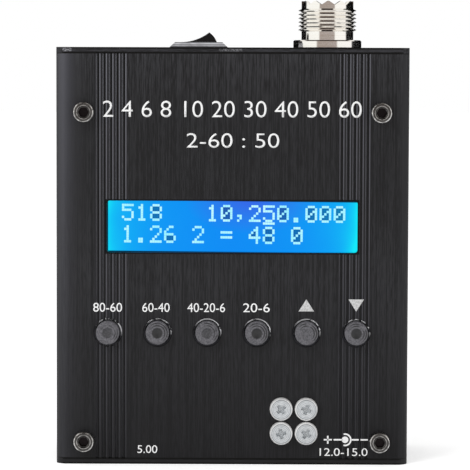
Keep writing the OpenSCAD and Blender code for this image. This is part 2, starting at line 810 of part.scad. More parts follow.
module display_board() {
    hole_inset = 2.5;
    hole_r = 1.25;
    color(laminate) difference() {
        block_y(0, window_z, lcd_board_w, lcd_board_h, lcd_board_y, lcd_board_y + board_t);
        header_holes(lcd_board_y - eps, lcd_board_y + board_t + eps);
        for (x = [-1, 1])
            for (z = [-1, 1])
                bar_y(x * (lcd_board_w / 2 - hole_inset), window_z + z * (lcd_board_h / 2 - hole_inset),
                    lcd_board_y - eps, lcd_board_y + board_t + eps, hole_r);
    }
}

module display_frame() {
    opening_w = window_w + 2 * lcd_frame_margin;
    opening_h = window_h + 2 * lcd_frame_margin;
    color(black) difference() {
        slab_y(lcd_front_y, lcd_board_y) translate([0, window_z])
            polygon(rounded(lcd_frame_w, lcd_frame_h, window_r));
        block_y(0, window_z, lcd_frame_w - 2 * lcd_frame_t, lcd_frame_h - 2 * lcd_frame_t,
            lcd_front_y + lcd_frame_t, lcd_board_y + eps);
        block_y(0, window_z, opening_w, opening_h, lcd_front_y - eps, lcd_front_y + lcd_frame_t + eps);
    }
}

module display_glass() {
    glass_y = lcd_front_y + lcd_frame_t;
    color([0.1, 0.45, 0.85])
        block_y(0, window_z, lcd_inner_w, lcd_inner_h, glass_y, glass_y + lcd_glass_t);
}

module display_backlight() {
    color(white_resin)
        block_y(0, window_z, lcd_inner_w, lcd_inner_h, lcd_front_y + lcd_frame_t + lcd_glass_t, lcd_board_y);
}

module display_pin_header() {
    strip_y = lcd_board_y + board_t;
    strip_l = pin_count * pin_pitch;
    color(black) union() {
        block_y(header_x + (pin_count - 1) * pin_pitch / 2, header_z, strip_l, pin_pitch,
            strip_y, board_front_y);
        for (i = [0:pin_count - 1])
            block_y(header_x + i * pin_pitch, header_z, pin_w, pin_w,
                lcd_board_y - pin_tail, board_rear_y + pin_tail);
    }
}

// ---------------------------------------------------------------- buttons

module tact_switch_bodies() {
    color(black) for (i = [0:button_count - 1]) difference() {
        block_y(button_pos(i), button_z, tact_w, tact_w, board_front_y - tact_h, board_front_y);
        bar_y(button_pos(i), button_z, board_front_y - tact_h - eps,
            board_front_y - tact_h + plunger_depth + button_travel + 0.3, plunger_d / 2 + plunger_gap);
    }
}

module button_plunger(i) {
    color(dark_plastic) bar_y(button_pos(i), button_z, face_y - cap_proud + cap_l - plunger_grip,
        board_front_y - tact_h + plunger_depth, plunger_d / 2);
}

// Cap of button i: a rounded cylinder with a dimple in front and a socket behind
module button_cap(i) {
    r = cap_d / 2;
    dish_r = (dimple_d * dimple_d / 4 + dimple_depth * dimple_depth) / (2 * dimple_depth);
    dish_half = asin(dimple_d / 2 / dish_r);
    color(dark_plastic) translate([button_pos(i), face_y - cap_proud + cap_l, button_z])
        rotate([90, 0, 0]) difference() {
            rotate_extrude() polygon(concat([[0, 0], [r, 0]],
                arc(r - cap_round, cap_l - cap_round, cap_round, 0, 90, 6),
                arc(0, cap_l - dimple_depth + dish_r, dish_r, 270 + dish_half, 270, 8)));
            translate([0, 0, -eps]) cylinder(h = plunger_grip + eps, r = plunger_d / 2 + thread_play);
        }
}

// ---------------------------------------------------------------- trimmers

module trimmer_bodies() {
    color([0.15, 0.3, 0.65]) for (i = [0:3]) difference() {
        block_y(trimmer_pos(i)[0], trimmer_pos(i)[1], trimmer_w, trimmer_w,
            board_front_y - trimmer_h, board_front_y);
        bar_y(trimmer_pos(i)[0], trimmer_pos(i)[1], board_front_y - trimmer_h - eps,
            board_front_y - trimmer_h + rotor_depth + 0.1, rotor_d / 2 + rotor_gap);
    }
}

module trimmer_rotor(i) {
    front_y = board_front_y - trimmer_h - rotor_proud;
    color(white_resin) difference() {
        bar_y(trimmer_pos(i)[0], trimmer_pos(i)[1],
            front_y, front_y + rotor_proud + rotor_depth, rotor_d / 2);
        block_y(trimmer_pos(i)[0], trimmer_pos(i)[1], rotor_d * 0.8, rotor_slot_w,
            front_y - eps, front_y + 2 * rotor_proud);
    }
}

// ---------------------------------------------------------------- parts on the back of the main board

// Moulded chip with two rows of legs on the back of the main board
module chip(x, z, w, h, t, legs, leg_pitch) {
    block_y(x, z, w, h, board_rear_y + chip_standoff, board_rear_y + chip_standoff + t);
    for (side = [-1, 1])
        for (i = [0:legs / 2 - 1])
            chip_leg(x + (i - (legs / 2 - 1) / 2) * leg_pitch, z + side * h / 2, side,
                leg_pitch * 0.35, chip_standoff + t / 2);
}

// Leg that leaves the chip's side at height rise and ends flat on the board
module chip_leg(x, z, side, leg_w, rise) {
    translate([x - leg_w / 2, board_rear_y, z]) mirror([0, 0, side < 0 ? 1 : 0]) {
        translate([0, rise - chip_leg_t, -eps])
            cube([leg_w, chip_leg_t, chip_leg_reach / 2 + chip_leg_t + eps]);
        translate([0, 0, chip_leg_reach / 2]) cube([leg_w, rise, chip_leg_t]);
        translate([0, 0, chip_leg_reach / 2]) cube([leg_w, chip_leg_t, chip_leg_reach / 2]);
    }
}

module microcontroller() {
    color(black) chip(mcu_x, low_z + mcu_rise, mcu_l, mcu_w, dip_t, 28, pin_pitch);
}

module signal_generator_chip() {
    color(black) chip(generator_x, chip_row_z, generator_l, generator_w,
        generator_t, 28, generator_pin_pitch);
}

module bridge_chips() {
    color(black) for (i = [0:2])
        chip(bridge_x + i * bridge_pitch, chip_row_z, bridge_l, bridge_w, dip_t, 8, pin_pitch);
}

module clock_oscillator() {
    color(steel) slab_y(board_rear_y, board_rear_y + oscillator_h) translate([oscillator_x, chip_row_z])
        polygon(rounded(oscillator_w, oscillator_w, oscillator_r));
}

// Regulator screwed to its heat sink, with its legs bent down to the board
module voltage_regulator() {
    body_h = 9;
    body_t = 4.4;
    tab_h = 6;
    tab_t = 1.3;
    leg_w = 0.8;
    leg_t = 0.6;
    leg_l = 4;
    base_y = board_rear_y + sink_t;
    body_z = sink_z - 2.0;
    tab_hole_r = 1.8;
    foot_z = body_z - body_h / 2 - leg_l;
    color(black) union() {
        block_y(jack_x, body_z, regulator_w, body_h, base_y, base_y + body_t);
        difference() {
            block_y(jack_x, body_z + (body_h + tab_h) / 2 - eps, regulator_w, tab_h, base_y, base_y + tab_t);
            bar_y(jack_x, body_z + (body_h + tab_h) / 2, base_y - eps, base_y + tab_t + eps, tab_hole_r);
        }
        for (x = [-pin_pitch, 0, pin_pitch]) {
            block_y(jack_x + x, foot_z + leg_l / 2, leg_w, leg_l + 2 * eps, base_y + 2, base_y + 2 + leg_t);
            block_y(jack_x + x, foot_z, leg_w, leg_t, board_rear_y, base_y + 2 + leg_t);
        }
    }
}

module regulator_heatsink() {
    fin_t = 1.2;
    fin_gap = 2.4;
    color(black) union() {
        block_y(jack_x, sink_z, sink_w, sink_l, board_rear_y, board_rear_y + sink_t);
        for (side = [-1, 1])
            for (x = [(sink_w - fin_t) / 2, (sink_w - fin_t) / 2 - fin_gap])
                block_y(jack_x + side * x, sink_z, fin_t, sink_l,
                    board_rear_y + sink_t - eps, board_rear_y + sink_fin_h);
    }
}

// Capacitor with the crimped groove near its foot
module electrolytic_capacitor(x, z) {
    r = elco_d / 2;
    crimp_z = 1.4;
    crimp_depth = 0.3;
    crimp_half = 0.4;
    edge = 0.4;
    translate([x, board_rear_y, z]) rotate([-90, 0, 0]) rotate_extrude()
        polygon([[0, 0], [r, 0], [r, crimp_z - crimp_half], [r - crimp_depth, crimp_z],
            [r, crimp_z + crimp_half], [r, elco_h - edge], [r - edge, elco_h], [0, elco_h]]);
}

module electrolytic_capacitors() {
    color([0.12, 0.14, 0.3]) {
        for (x = [elco_left_x, elco_left_x + elco_pitch])
            electrolytic_capacitor(x, elco_z);
        for (z = [elco_z, elco_z + elco_pitch])
            electrolytic_capacitor(elco_right_x, z);
    }
}

module filter_inductors() {
    r = inductor_d / 2;
    flange = 1.0;
    waist = r - 0.6;
    taper = 0.3;
    for (i = [0:3])
        color([0.3, 0.28, 0.26]) translate([inductor_x + i * inductor_pitch, board_rear_y, inductor_z])
            rotate([-90, 0, 0]) rotate_extrude()
                polygon([[0, 0], [r, 0], [r, flange], [waist, flange + taper],
                    [waist, inductor_h - flange - taper], [r, inductor_h - flange], [r, inductor_h],
                    [0, inductor_h]]);
}

// ---------------------------------------------------------------- coaxial socket

// Outline of the coupling thread as rings of the pitch, from z = a upwards
function thread_profile(a, count, root_r, crest_r) = [for (i = [0:count - 1])
    for (p = [[root_r, 0.05], [crest_r, 0.42], [crest_r, 0.58], [root_r, 0.95]])
        [p[0], a + (i + p[1]) * coax_pitch]];

module rf_socket_shell() {
    neck_r = coax_neck_d / 2;
    crest_r = coax_thread_d / 2;
    tail_turns = floor((coax_tail_l + plate_t) / coax_pitch);
    color(nickel) translate([coax_x, 0, 0]) difference() {
        rotate_extrude() polygon(concat(
            [[insulator_r + thread_play, coax_tail_z], [neck_r, coax_tail_z]],
            thread_profile(top_z - tail_turns * coax_pitch, tail_turns, neck_r, crest_r),
            [[neck_r, top_z], [coax_flange_d / 2 - 0.2, top_z], [coax_flange_d / 2, top_z + 0.2],
                [coax_flange_d / 2, coax_neck_z - 0.3], [coax_flange_d / 2 - 0.3, coax_neck_z],
                [neck_r, coax_neck_z]],
            thread_profile(coax_thread_z, coax_threads, neck_r, crest_r),
            [[neck_r, coax_end_z], [coax_mouth_d / 2, coax_end_z],
                [coax_mouth_d / 2, coax_seat_z - insulator_flange_t],
                [insulator_r + thread_play, coax_seat_z - insulator_flange_t]]));
        for (i = [0:coax_teeth - 1])
            rotate([0, 0, (i + 0.5) * 360 / coax_teeth]) tooth_gap();
    }
}

// V-shaped gap between two teeth of the rim, cut outwards along +X
module tooth_gap() {
    half = coax_neck_d * PI / coax_teeth / 2 * 0.92;
    translate([coax_mouth_d / 2 - 1, 0, 0]) rotate([90, 0, 90])
        linear_extrude(coax_neck_d / 2 - coax_mouth_d / 2 + 2)
            polygon([[0, coax_tooth_z], [half, coax_end_z + eps], [-half, coax_end_z + eps]]);
}

module rf_insulator() {
    color(white_resin) translate([coax_x, 0, 0]) difference() {
        rotate_extrude() polygon([[0, insulator_back_z], [insulator_r, insulator_back_z],
            [insulator_r, coax_seat_z - insulator_flange_t],
            [coax_mouth_d / 2 - thread_play, coax_seat_z - insulator_flange_t],
            [coax_mouth_d / 2 - thread_play, coax_seat_z], [0, coax_seat_z]]);
        translate([0, 0, insulator_back_z - eps])
            cylinder(h = coax_seat_z - insulator_back_z + 2 * eps, r = contact_d / 2 + thread_play);
    }
}

module rf_centre_contact() {
    slot_l = contact_tip_z - coax_seat_z - 1;
    color(brass) translate([coax_x, 0, 0]) difference() {
        union() {
            translate([0, 0, insulator_back_z])
                cylinder(h = contact_tip_z - insulator_back_z, r = contact_d / 2);
            translate([0, 0, contact_back_z]) cylinder(h = solder_cup_l + eps, r = solder_cup_r);
        }
        translate([0, 0, contact_tip_z - contact_bore_l])
            cylinder(h = contact_bore_l + eps, r = contact_bore_d / 2);
        translate([0, 0, contact_back_z - eps])
            cylinder(h = solder_cup_bore_l + eps, r = solder_cup_bore_r);
        for (a = [45, 135])
            rotate([0, 0, a]) block_z(0, 0, contact_d + 1, contact_slot_w,
                contact_tip_z - slot_l, contact_tip_z + eps);
    }
}

// Clear hole for the socket's thread through a flat piece on its axis
module coax_clear_hole(z, t) {
    translate([0, 0, z - eps]) cylinder(h = t + 2 * eps, r = coax_thread_d / 2 + thread_play);
}

module rf_lock_washer() {
    teeth = 12;
    ring_r = coax_nut_af / 2 - 0.6;
    color(zinc) translate([coax_x, 0, 0]) difference() {
        union() {
            translate([0, 0, washer_z]) cylinder(h = coax_washer_t, r = ring_r - 0.6);
            for (i = [0:teeth - 1])
                rotate([0, 0, i * 360 / teeth])
                    block_z(ring_r - 0.7, 0, 1.4, 1.6, washer_z, washer_z + coax_washer_t);
        }
        coax_clear_hole(washer_z, coax_washer_t);
    }
}

module rf_ground_tag() {
    tail_z = tag_z - tag_tail_l;
    color(zinc) difference() {
        union() {
            translate([coax_x, 0, tag_z]) cylinder(h = ground_tag_t, r = tag_r);
            block_z((tag_tail_x + coax_x) / 2, 0, coax_x - tag_tail_x, tag_tail_w,
                tag_z, tag_z + ground_tag_t);
            block_z(tag_tail_x + ground_tag_t / 2, 0, ground_tag_t, tag_tail_w,
                tail_z, tag_z + ground_tag_t);
        }
        translate([coax_x, 0, 0]) coax_clear_hole(tag_z, ground_tag_t);
    }
}

module rf_panel_nut() {
    color(zinc) translate([coax_x, 0, 0]) difference() {
        translate([0, 0, tag_z - coax_nut_h])
            cylinder(h = coax_nut_h, d = coax_nut_af / cos(30), $fn = 6);
        coax_clear_hole(tag_z - coax_nut_h, coax_nut_h);
    }
}

// Wire from p, where it points down, to the back of the main board
module lead(p) {
    land_z = p[2] - lead_drop;
    route = [p, [p[0], p[1], p[2] - lead_drop / 2], [p[0], p[1] - 1, land_z],
        [p[0], board_rear_y, land_z]];
    rings = [for (i = [0:lead_steps])
        let (t = i / lead_steps, c = bezier(route, t), s = slope(route, t), n = [0, s[2], -s[1]] / norm(s))
            [for (k = [0:lead_sides - 1]) let (a = 360 * k / lead_sides)
                c + lead_d / 2 * (cos(a) * [1, 0, 0] + sin(a) * n)]];
    last = lead_steps * lead_sides;
    polyhedron(points = [for (ring = rings) each ring],
        faces = concat(
            [[for (k = [0:lead_sides - 1]) k]],
            [for (i = [0:lead_steps - 1]) for (k = [0:lead_sides - 1])
                let (a = i * lead_sides + k, b = i * lead_sides + (k + 1) % lead_sides)
                    [a, a + lead_sides, b + lead_sides, b]],
            [[for (k = [lead_sides - 1:-1:0]) last + k]]));
}

module rf_leads() {
    color([0.8, 0.8, 0.8]) {
        lead([coax_x, 0, contact_back_z]);
        lead([tag_tail_x + ground_tag_t / 2, 0, tag_z - tag_tail_l]);
    }
}

// ---------------------------------------------------------------- rocker switch

module switch_housing() {
    slope_l = 1.45;
    slope_w = 0.7;
    side_foot = bezel_h - slope_w;
    cavity_l = 2 * (rocker_r + rocker_gap);
    cavity_w = rocker_w + 2 * rocker_gap;
    cavity_depth = rocker_r;
    color(light_grey) translate([switch_x, 0, top_z]) difference() {
        union() {
            intersection() {
                slab_y(-bezel_w / 2, bezel_w / 2) sloped(bezel_l, bezel_foot, slope_l);
                translate([-bezel_l / 2, 0, 0]) rotate([90, 0, 90]) linear_extrude(bezel_l)
                    sloped(bezel_w, side_foot, slope_w);
            }
            block_z(0, 0, housing_l, housing_w, -switch_depth, eps);
        }
        block_z(0, 0, cavity_l, cavity_w, -cavity_depth, bezel_h + eps);
        bar_y(0, 0, -cavity_w / 2 - pivot_length, cavity_w / 2 + pivot_length, pivot_d / 2 + pivot_gap);
        for (x = [-1, 1])
            block_z(x * terminal_spacing / 2, 0, terminal_t + 2 * pin_gap, terminal_w + 2 * pin_gap,
                -switch_depth - eps, terminal_root - switch_depth);
    }
}

// Outline of the bezel over a length, with a straight foot and a slope at both ends
module sloped(length, foot, run) {
    polygon([[-length / 2, 0], [length / 2, 0], [length / 2, foot], [length / 2 - run, bezel_h],
        [run - length / 2, bezel_h], [-length / 2, foot]]);
}

module switch_rocker() {
    color(black) translate([switch_x, 0, pivot_z]) rotate([0, -rocker_tilt, 0]) union() {
        difference() {
            bar_y(0, 0, -rocker_w / 2, rocker_w / 2, rocker_r);
            block_z(0, 0, 4 * rocker_r, 2 * rocker_w, -2 * rocker_r, -rocker_low);
            bar_y(0, rocker_top + rocker_hollow_r, -rocker_w, rocker_w, rocker_hollow_r);
        }
        bar_y(0, 0, -rocker_w / 2 - rocker_gap - pivot_length + pin_gap,
            rocker_w / 2 + rocker_gap + pivot_length - pin_gap, pivot_d / 2);
    }
}

module switch_terminals() {
    color(zinc) for (x = [-1, 1])
        block_z(switch_x + x * terminal_spacing / 2, 0, terminal_t, terminal_w,
            switch_base_z - terminal_l, switch_base_z + terminal_root);
}

module switch_leads() {
    color([0.7, 0.1, 0.1]) for (x = [-1, 1])
        lead([switch_x + x * terminal_spacing / 2, 0, switch_base_z - terminal_l]);
}

// ---------------------------------------------------------------- power socket

// One solder tab of the power socket, widened by play for its slot in the board
module jack_tab(x, inset, play) {
    block_y(jack_x + x, jack_face_z + jack_l - inset, jack_tab_t + 2 * play, jack_tab_w + 2 * play,
        board_front_y - pin_tail - play, board_rear_y + play);
}

module jack_tabs(play) {
    jack_tab(0, 1, play);
    jack_tab(0, 6.5, play);
    jack_tab(jack_w / 2 - 0.4, 3.5, play);
}

module power_jack_housing() {
    color(black) difference() {
        block_z(jack_x, jack_centre_y, jack_w, jack_h, jack_face_z, jack_face_z + jack_l);
        translate([jack_x, jack_y, jack_face_z - eps])
            cylinder(h = jack_bore_l + eps, r = jack_bore_d / 2);
        translate([jack_x, jack_y, jack_face_z - eps])
            cylinder(h = 0.5 + eps, r1 = jack_bore_d / 2 + 0.5, r2 = jack_bore_d / 2);
        block_z(jack_x, board_rear_y + leaf_h, leaf_w + 2 * pin_gap, leaf_space,
            jack_face_z + 2, jack_face_z + jack_l + eps);
        block_z(jack_x, board_rear_y + leaf_h / 2, leaf_w + 2 * pin_gap, leaf_h + 2 * eps,
            jack_face_z + jack_bore_l + 1.5, jack_face_z + jack_l + eps);
    }
}

module power_jack_pin() {
    floor_z = jack_face_z + jack_bore_l;
    tip_z = jack_face_z + jack_pin_drop;
    r = jack_pin_d / 2;
    color(nickel) translate([jack_x, jack_y, 0]) rotate_extrude()
        polygon(concat([[0, floor_z], [r, floor_z]],
            [for (i = [0:6]) [r - 0.4 + 0.4 * cos(i * 15), tip_z + 0.4 - 0.4 * sin(i * 15)]],
            [[0, tip_z]]));
}

module power_jack_contacts() {
    color(nickel) union() {
        block_z(jack_x, board_rear_y + leaf_h, leaf_w, leaf_t, jack_face_z + 3, jack_face_z + jack_l);
        jack_tabs(0);
        block_z(jack_x, board_rear_y + leaf_h / 2, jack_tab_t, leaf_h,
            jack_face_z + jack_l - 2.1, jack_face_z + jack_l);
    }
}

// ---------------------------------------------------------------- USB socket

// Pins of the USB socket, widened by play for the holes in the board
module usb_pins(play) {
    at_usb_pins() block_y(0, 0, pin_w + 2 * play, pin_w + 2 * play,
        board_front_y - pin_tail - play, board_rear_y + play);
}

module at_usb_pins() {
    for (x = [-usb_pin_pitch / 2, usb_pin_pitch / 2])
        for (inset = [usb_pin_inset, usb_pin_inset + 2])
            translate([usb_x + x, 0, jack_face_z + usb_l - inset]) children();
}

module usb_shell() {
    color(nickel) difference() {
        block_z(usb_x, usb_centre_y, usb_w, usb_h, jack_face_z, jack_face_z + usb_l);
        block_z(usb_x, usb_centre_y, usb_plug_w, usb_plug_h, jack_face_z - eps, jack_face_z + usb_plug_l);
        block_z(usb_x, usb_centre_y, usb_plug_w, usb_tongue_h + 0.4, jack_face_z - eps,
            jack_face_z + usb_l - 1);
        block_z(usb_x, board_rear_y + usb_h / 4, 4.2, usb_h / 2 + eps, jack_face_z + usb_plug_l + 2,
            jack_face_z + usb_l - 0.6);
    }
}

module usb_tongue() {
    color(white_resin) union() {
        block_z(usb_x, usb_centre_y, usb_tongue_w, usb_tongue_h,
            jack_face_z + 1, jack_face_z + usb_plug_l + eps);
        block_z(usb_x, usb_centre_y, usb_plug_w - 0.2, usb_tongue_h, jack_face_z + usb_plug_l,
            jack_face_z + usb_l - 1);
    }
}

module usb_contacts() {
    color(brass) at_usb_pins()
        block_y(0, 0, pin_w, pin_w, board_front_y - pin_tail, usb_centre_y - usb_tongue_h / 2);
}

front_shell();
rear_shell();
top_end_plate();
bottom_end_plate();
top_plate_screws();
bottom_plate_screws();
board_screws();
board_spacers();
board_nuts();
trimmer_cover_screws();
main_board();
display_board();
display_frame();
display_glass();
display_backlight();
display_pin_header();
tact_switch_bodies();
button_cap(0);  // mode_button
button_cap(1);  // band_button
button_cap(2);  // config_button
button_cap(3);  // scan_button
button_cap(4);  // up_button
button_cap(5);  // down_button
button_plunger(0);  // mode_plunger
button_plunger(1);  // band_plunger
button_plunger(2);  // config_plunger
button_plunger(3);  // scan_plunger
button_plunger(4);  // up_plunger
button_plunger(5);  // down_plunger
trimmer_bodies();
trimmer_rotor(0);  // trimmer_rotor_1
trimmer_rotor(1);  // trimmer_rotor_2
trimmer_rotor(2);  // trimmer_rotor_3
trimmer_rotor(3);  // trimmer_rotor_4
microcontroller();
signal_generator_chip();
bridge_chips();
clock_oscillator();
voltage_regulator();
regulator_heatsink();
electrolytic_capacitors();
filter_inductors();
rf_socket_shell();
rf_insulator();
rf_centre_contact();
rf_panel_nut();
rf_lock_washer();
rf_ground_tag();
rf_leads();
switch_housing();
switch_rocker();
switch_terminals();
switch_leads();
power_jack_housing();
power_jack_pin();
power_jack_contacts();
usb_shell();
usb_tongue();
usb_contacts();
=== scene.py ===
# %% [markdown]
# # Handheld antenna analyzer
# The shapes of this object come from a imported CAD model: a black extruded case, its boards, buttons, sockets
# and screws. This lesson gives every piece its finish, prints the front, lights the display and sets up the
# camera. The model is loaded first and stays where it is, so that everything added later fits it.

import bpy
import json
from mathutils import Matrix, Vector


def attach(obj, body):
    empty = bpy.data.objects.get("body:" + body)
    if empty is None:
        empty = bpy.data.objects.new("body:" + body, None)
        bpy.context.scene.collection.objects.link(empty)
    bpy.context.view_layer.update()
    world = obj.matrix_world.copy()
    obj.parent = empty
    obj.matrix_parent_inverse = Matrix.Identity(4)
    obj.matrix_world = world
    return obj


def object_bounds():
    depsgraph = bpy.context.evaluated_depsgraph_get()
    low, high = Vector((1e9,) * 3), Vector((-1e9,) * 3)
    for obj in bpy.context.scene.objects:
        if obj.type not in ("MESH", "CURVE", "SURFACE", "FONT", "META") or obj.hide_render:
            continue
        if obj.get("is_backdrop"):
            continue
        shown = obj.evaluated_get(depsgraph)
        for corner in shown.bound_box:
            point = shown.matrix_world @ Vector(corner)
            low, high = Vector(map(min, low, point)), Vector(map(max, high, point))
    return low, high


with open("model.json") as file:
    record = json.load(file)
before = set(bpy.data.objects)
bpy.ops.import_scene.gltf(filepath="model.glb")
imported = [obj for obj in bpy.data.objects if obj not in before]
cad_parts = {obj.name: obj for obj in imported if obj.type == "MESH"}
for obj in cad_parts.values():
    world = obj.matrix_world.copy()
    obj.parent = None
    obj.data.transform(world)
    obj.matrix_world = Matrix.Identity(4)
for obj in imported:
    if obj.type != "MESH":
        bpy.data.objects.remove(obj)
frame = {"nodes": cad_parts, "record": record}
cad_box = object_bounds()

# %% Modules, units and colour handling
import json
from math import cos, radians, sin

import bmesh
import bpy
from mathutils import Matrix, Vector

MM = 0.001
scene = bpy.context.scene
scene.view_settings.view_transform = "Standard"
print("case", [round(side / MM, 1) for side in cad_box[1] - cad_box[0]], "mm")

# %% [markdown]
# ## Colours and shader nodes
# A colour seen on a screen is written as a hex value, while a shader works with light that adds up. One
# function turns the first into the second. A second function adds any shader node, sets its options, and
# links or fills its sockets, so that each finish below reads as a short recipe.

# %% Colour and node helpers
def linear(hex_colour):
    """Linear red, green, blue and alpha of an sRGB value such as "2B2B2E"."""
    parts = [int(hex_colour[i:i + 2], 16) / 255 for i in (0, 2, 4)]
    return [c / 12.92 if c <= 0.04045 else ((c + 0.055) / 1.055) ** 2.4 for c in parts] + [1]


def add(tree, kind, inputs={}, stops=(), **options):
    """Adds a node. inputs maps a socket's name or number to a value or to another node's output."""
    made = tree.nodes.new("ShaderNode" + kind)
    for name, value in options.items():
        setattr(made, name, value)
    for place, (position, colour) in enumerate(stops):
        ramp = made.color_ramp.elements
        stop = ramp[place] if place < len(ramp) else ramp.new(position)
        stop.position, stop.color = position, linear(colour)
    for name, value in inputs.items():
        if isinstance(value, bpy.types.NodeSocket):
            tree.links.new(value, made.inputs[name])
        else:
            made.inputs[name].default_value = value
    return made


print("mid grey 808080 is", round(linear("808080")[0], 3), "in linear light")

# %% [markdown]
# ## The camera
# The picture shows the object from the front and from a little above its middle, through a long lens. The
# place, the turn and the focal length were worked out from the sizes of the case and from where its corners,
# screws and buttons lie in the picture. The camera is built from its line of sight, with a small roll.

# %% Camera
CAMERA_PLACE = Vector((4.744, -720.0, 106.582)) * MM
YAW, PITCH, ROLL = radians(-0.328), radians(3.61), radians(0.176)
FOCAL_PIXELS, PICTURE_PIXELS, SENSOR = 2595.05, 470, 36.0

sight = Vector((sin(YAW) * cos(PITCH), cos(YAW) * cos(PITCH), -sin(PITCH)))
right = sight.cross(Vector((0, 0, 1))).normalized()
up = right.cross(sight)
axes = Matrix((right, up, -sight)).transposed()
camera = bpy.data.objects.new("camera", bpy.data.cameras.new("camera"))
camera.data.sensor_width = SENSOR
camera.data.lens = FOCAL_PIXELS / PICTURE_PIXELS * SENSOR
camera.data.clip_start = 0.01
camera.matrix_world = Matrix.Translation(CAMERA_PLACE) @ (axes @ Matrix.Rotation(ROLL, 3, "Z")).to_4x4()
scene.collection.objects.link(camera)
scene.camera = camera
print("lens", round(camera.data.lens, 1), "mm")

# %% [markdown]
# ## Studio light
# Small products are shot in a light tent: white cloth on both sides, an open front where the camera stands,
# and low black cards behind the object that give bright metal its dark edges. Above the cards is cloth
# again, up to a dim opening overhead. The front opening shows a grey wall at the lens's own level and a dark
# room above and below it, and the flanks of a thread mirror that dark. The world stands for the tent. Even
# light falls on every matt surface, mirror-like ones see the tent, and the camera sees plain white behind the
# object. One lamp stands outside the cloth. It adds light from the upper left, but no mirror shows its image.

# %% World
world = bpy.data.worlds.new("light_tent")
scene.world = world
world.use_nodes = True
tent = world.node_tree
tent.nodes.clear()
heading = add(tent, "SeparateXYZ", {"Vector": add(tent, "TexCoord").outputs["Generated"]}).outputs
behind_camera = add(tent, "Math", {0: heading["Y"], 1: -1.0}, operation="MULTIPLY").outputs[0]
azimuth = add(tent, "Math", {0: heading["X"], 1: behind_camera}, operation="ARCTAN2").outputs[0]
around = add(tent, "MapRange", {"Value": azimuth, "From Min": radians(-180), "From Max": radians(180)})
TENT_RING = [(-180, "080808"), (-112, "0C0C0C"), (-107, "FCFCF8"), (-40, "FFFFFA"), (-35, "A4978F"),
             (29, "A89C96"), (34, "FFFEFA"), (86, "FFFCFA"), (92, "0C0C0C"), (180, "080808")]
CARD_TOP, CLOTH_FOOT, LENS_LEVEL, ROOM, OPENING, OPEN_SKY = 0.56, 0.62, 0.22, 0.3, 0.78, 0.86
DIM = "3A302A"
CLOTH = [(CARD_TOP, "101010"), (CLOTH_FOOT, "F8F6F2"), (0.72, "F4F0EC"), (0.8, DIM)]
ring = add(tent, "ValToRGB", {"Fac": around.outputs[0]},
           stops=[((angle + 180) / 360, colour) for angle, colour in TENT_RING]).outputs[0]
DARK_ROOM = [(-180, "F8F8F4"), (-40, "F8F6F2"), (-34, "14100E"), (28, "14100E"), (34, "F8F6F2")]
room = add(tent, "ValToRGB", {"Fac": around.outputs[0]},
           stops=[((angle + 180) / 360, colour) for angle, colour in DARK_ROOM]).outputs[0]
steep = add(tent, "Math", {0: heading["Z"]}, operation="ABSOLUTE").outputs[0]
in_front = add(tent, "Math", {0: behind_camera, 1: 0.0}, operation="GREATER_THAN").outputs[0]
off_level = add(tent, "MapRange", {"Value": steep, "From Min": LENS_LEVEL, "From Max": ROOM}).outputs[0]
off_level = add(tent, "Math", {0: off_level, 1: in_front}, operation="MULTIPLY").outputs[0]
ring = add(tent, "Mix", {0: off_level, 6: ring, 7: room}, data_type="RGBA").outputs[2]
cloth = add(tent, "ValToRGB", {"Fac": steep}, stops=CLOTH)
over_cards = add(tent, "MapRange", {"Value": steep, "From Min": CARD_TOP, "From Max": CLOTH_FOOT}).outputs[0]
at_back = add(tent, "MapRange", {"Value": heading["Y"], "From Min": 0.0, "From Max": 0.2}).outputs[0]
share = add(tent, "Math", {0: over_cards, 1: at_back}, operation="MULTIPLY").outputs[0]
mirrored = add(tent, "Mix", {0: share, 6: ring, 7: cloth.outputs[0]}, data_type="RGBA").outputs[2]
overhead = add(tent, "MapRange", {"Value": steep, "From Min": OPENING, "From Max": OPEN_SKY}).outputs[0]
mirrored = add(tent, "Mix", {0: overhead, 6: mirrored, 7: linear(DIM)}, data_type="RGBA").outputs[2]
rays = add(tent, "LightPath").outputs
seen = add(tent, "Mix", {0: rays["Is Glossy Ray"], 6: linear("E6E6E6"), 7: mirrored}, data_type="RGBA")
plain = add(tent, "Mix", {0: rays["Is Camera Ray"], 6: seen.outputs[2], 7: linear("FFFFFF")},
            data_type="RGBA")
add(tent, "OutputWorld", {"Surface": add(tent, "Background", {"Color": plain.outputs[2]}).outputs[0]})
print("tent with", len(TENT_RING), "sectors")

# %% Key lamp
KEY_PLACE, KEY_AIM, KEY_SIDE, KEY_POWER = (-0.55, -0.75, 0.75), (0, 0, 0.06), 0.45, 4.3
key = bpy.data.objects.new("key_lamp", bpy.data.lights.new("key_lamp", "AREA"))
key.data.shape = "SQUARE"
key.data.size = KEY_SIDE
key.data.energy = KEY_POWER
key.visible_glossy = False
beam = Vector(KEY_AIM) - Vector(KEY_PLACE)
key.matrix_world = Matrix.Translation(KEY_PLACE) @ beam.to_track_quat("-Z", "Y").to_matrix().to_4x4()
scene.collection.objects.link(key)
print("key lamp", round(beam.length, 2), "m away")

# %% [markdown]
# ## The table
# The object stands on a wide white sheet. One flat grid is enough: it is matt and pale, it takes the soft
# shadow at the foot of the case, and a little light of its own lets it fade into the white background.

# %% White sheet
def keep(bm, name, material):
    """Turns a bmesh into an object at the origin, with one material."""
    mesh = bpy.data.meshes.new(name)
    bm.to_mesh(mesh)
    bm.free()
    mesh.materials.append(material)
    made = bpy.data.objects.new(name, mesh)
    scene.collection.objects.link(made)
    return made


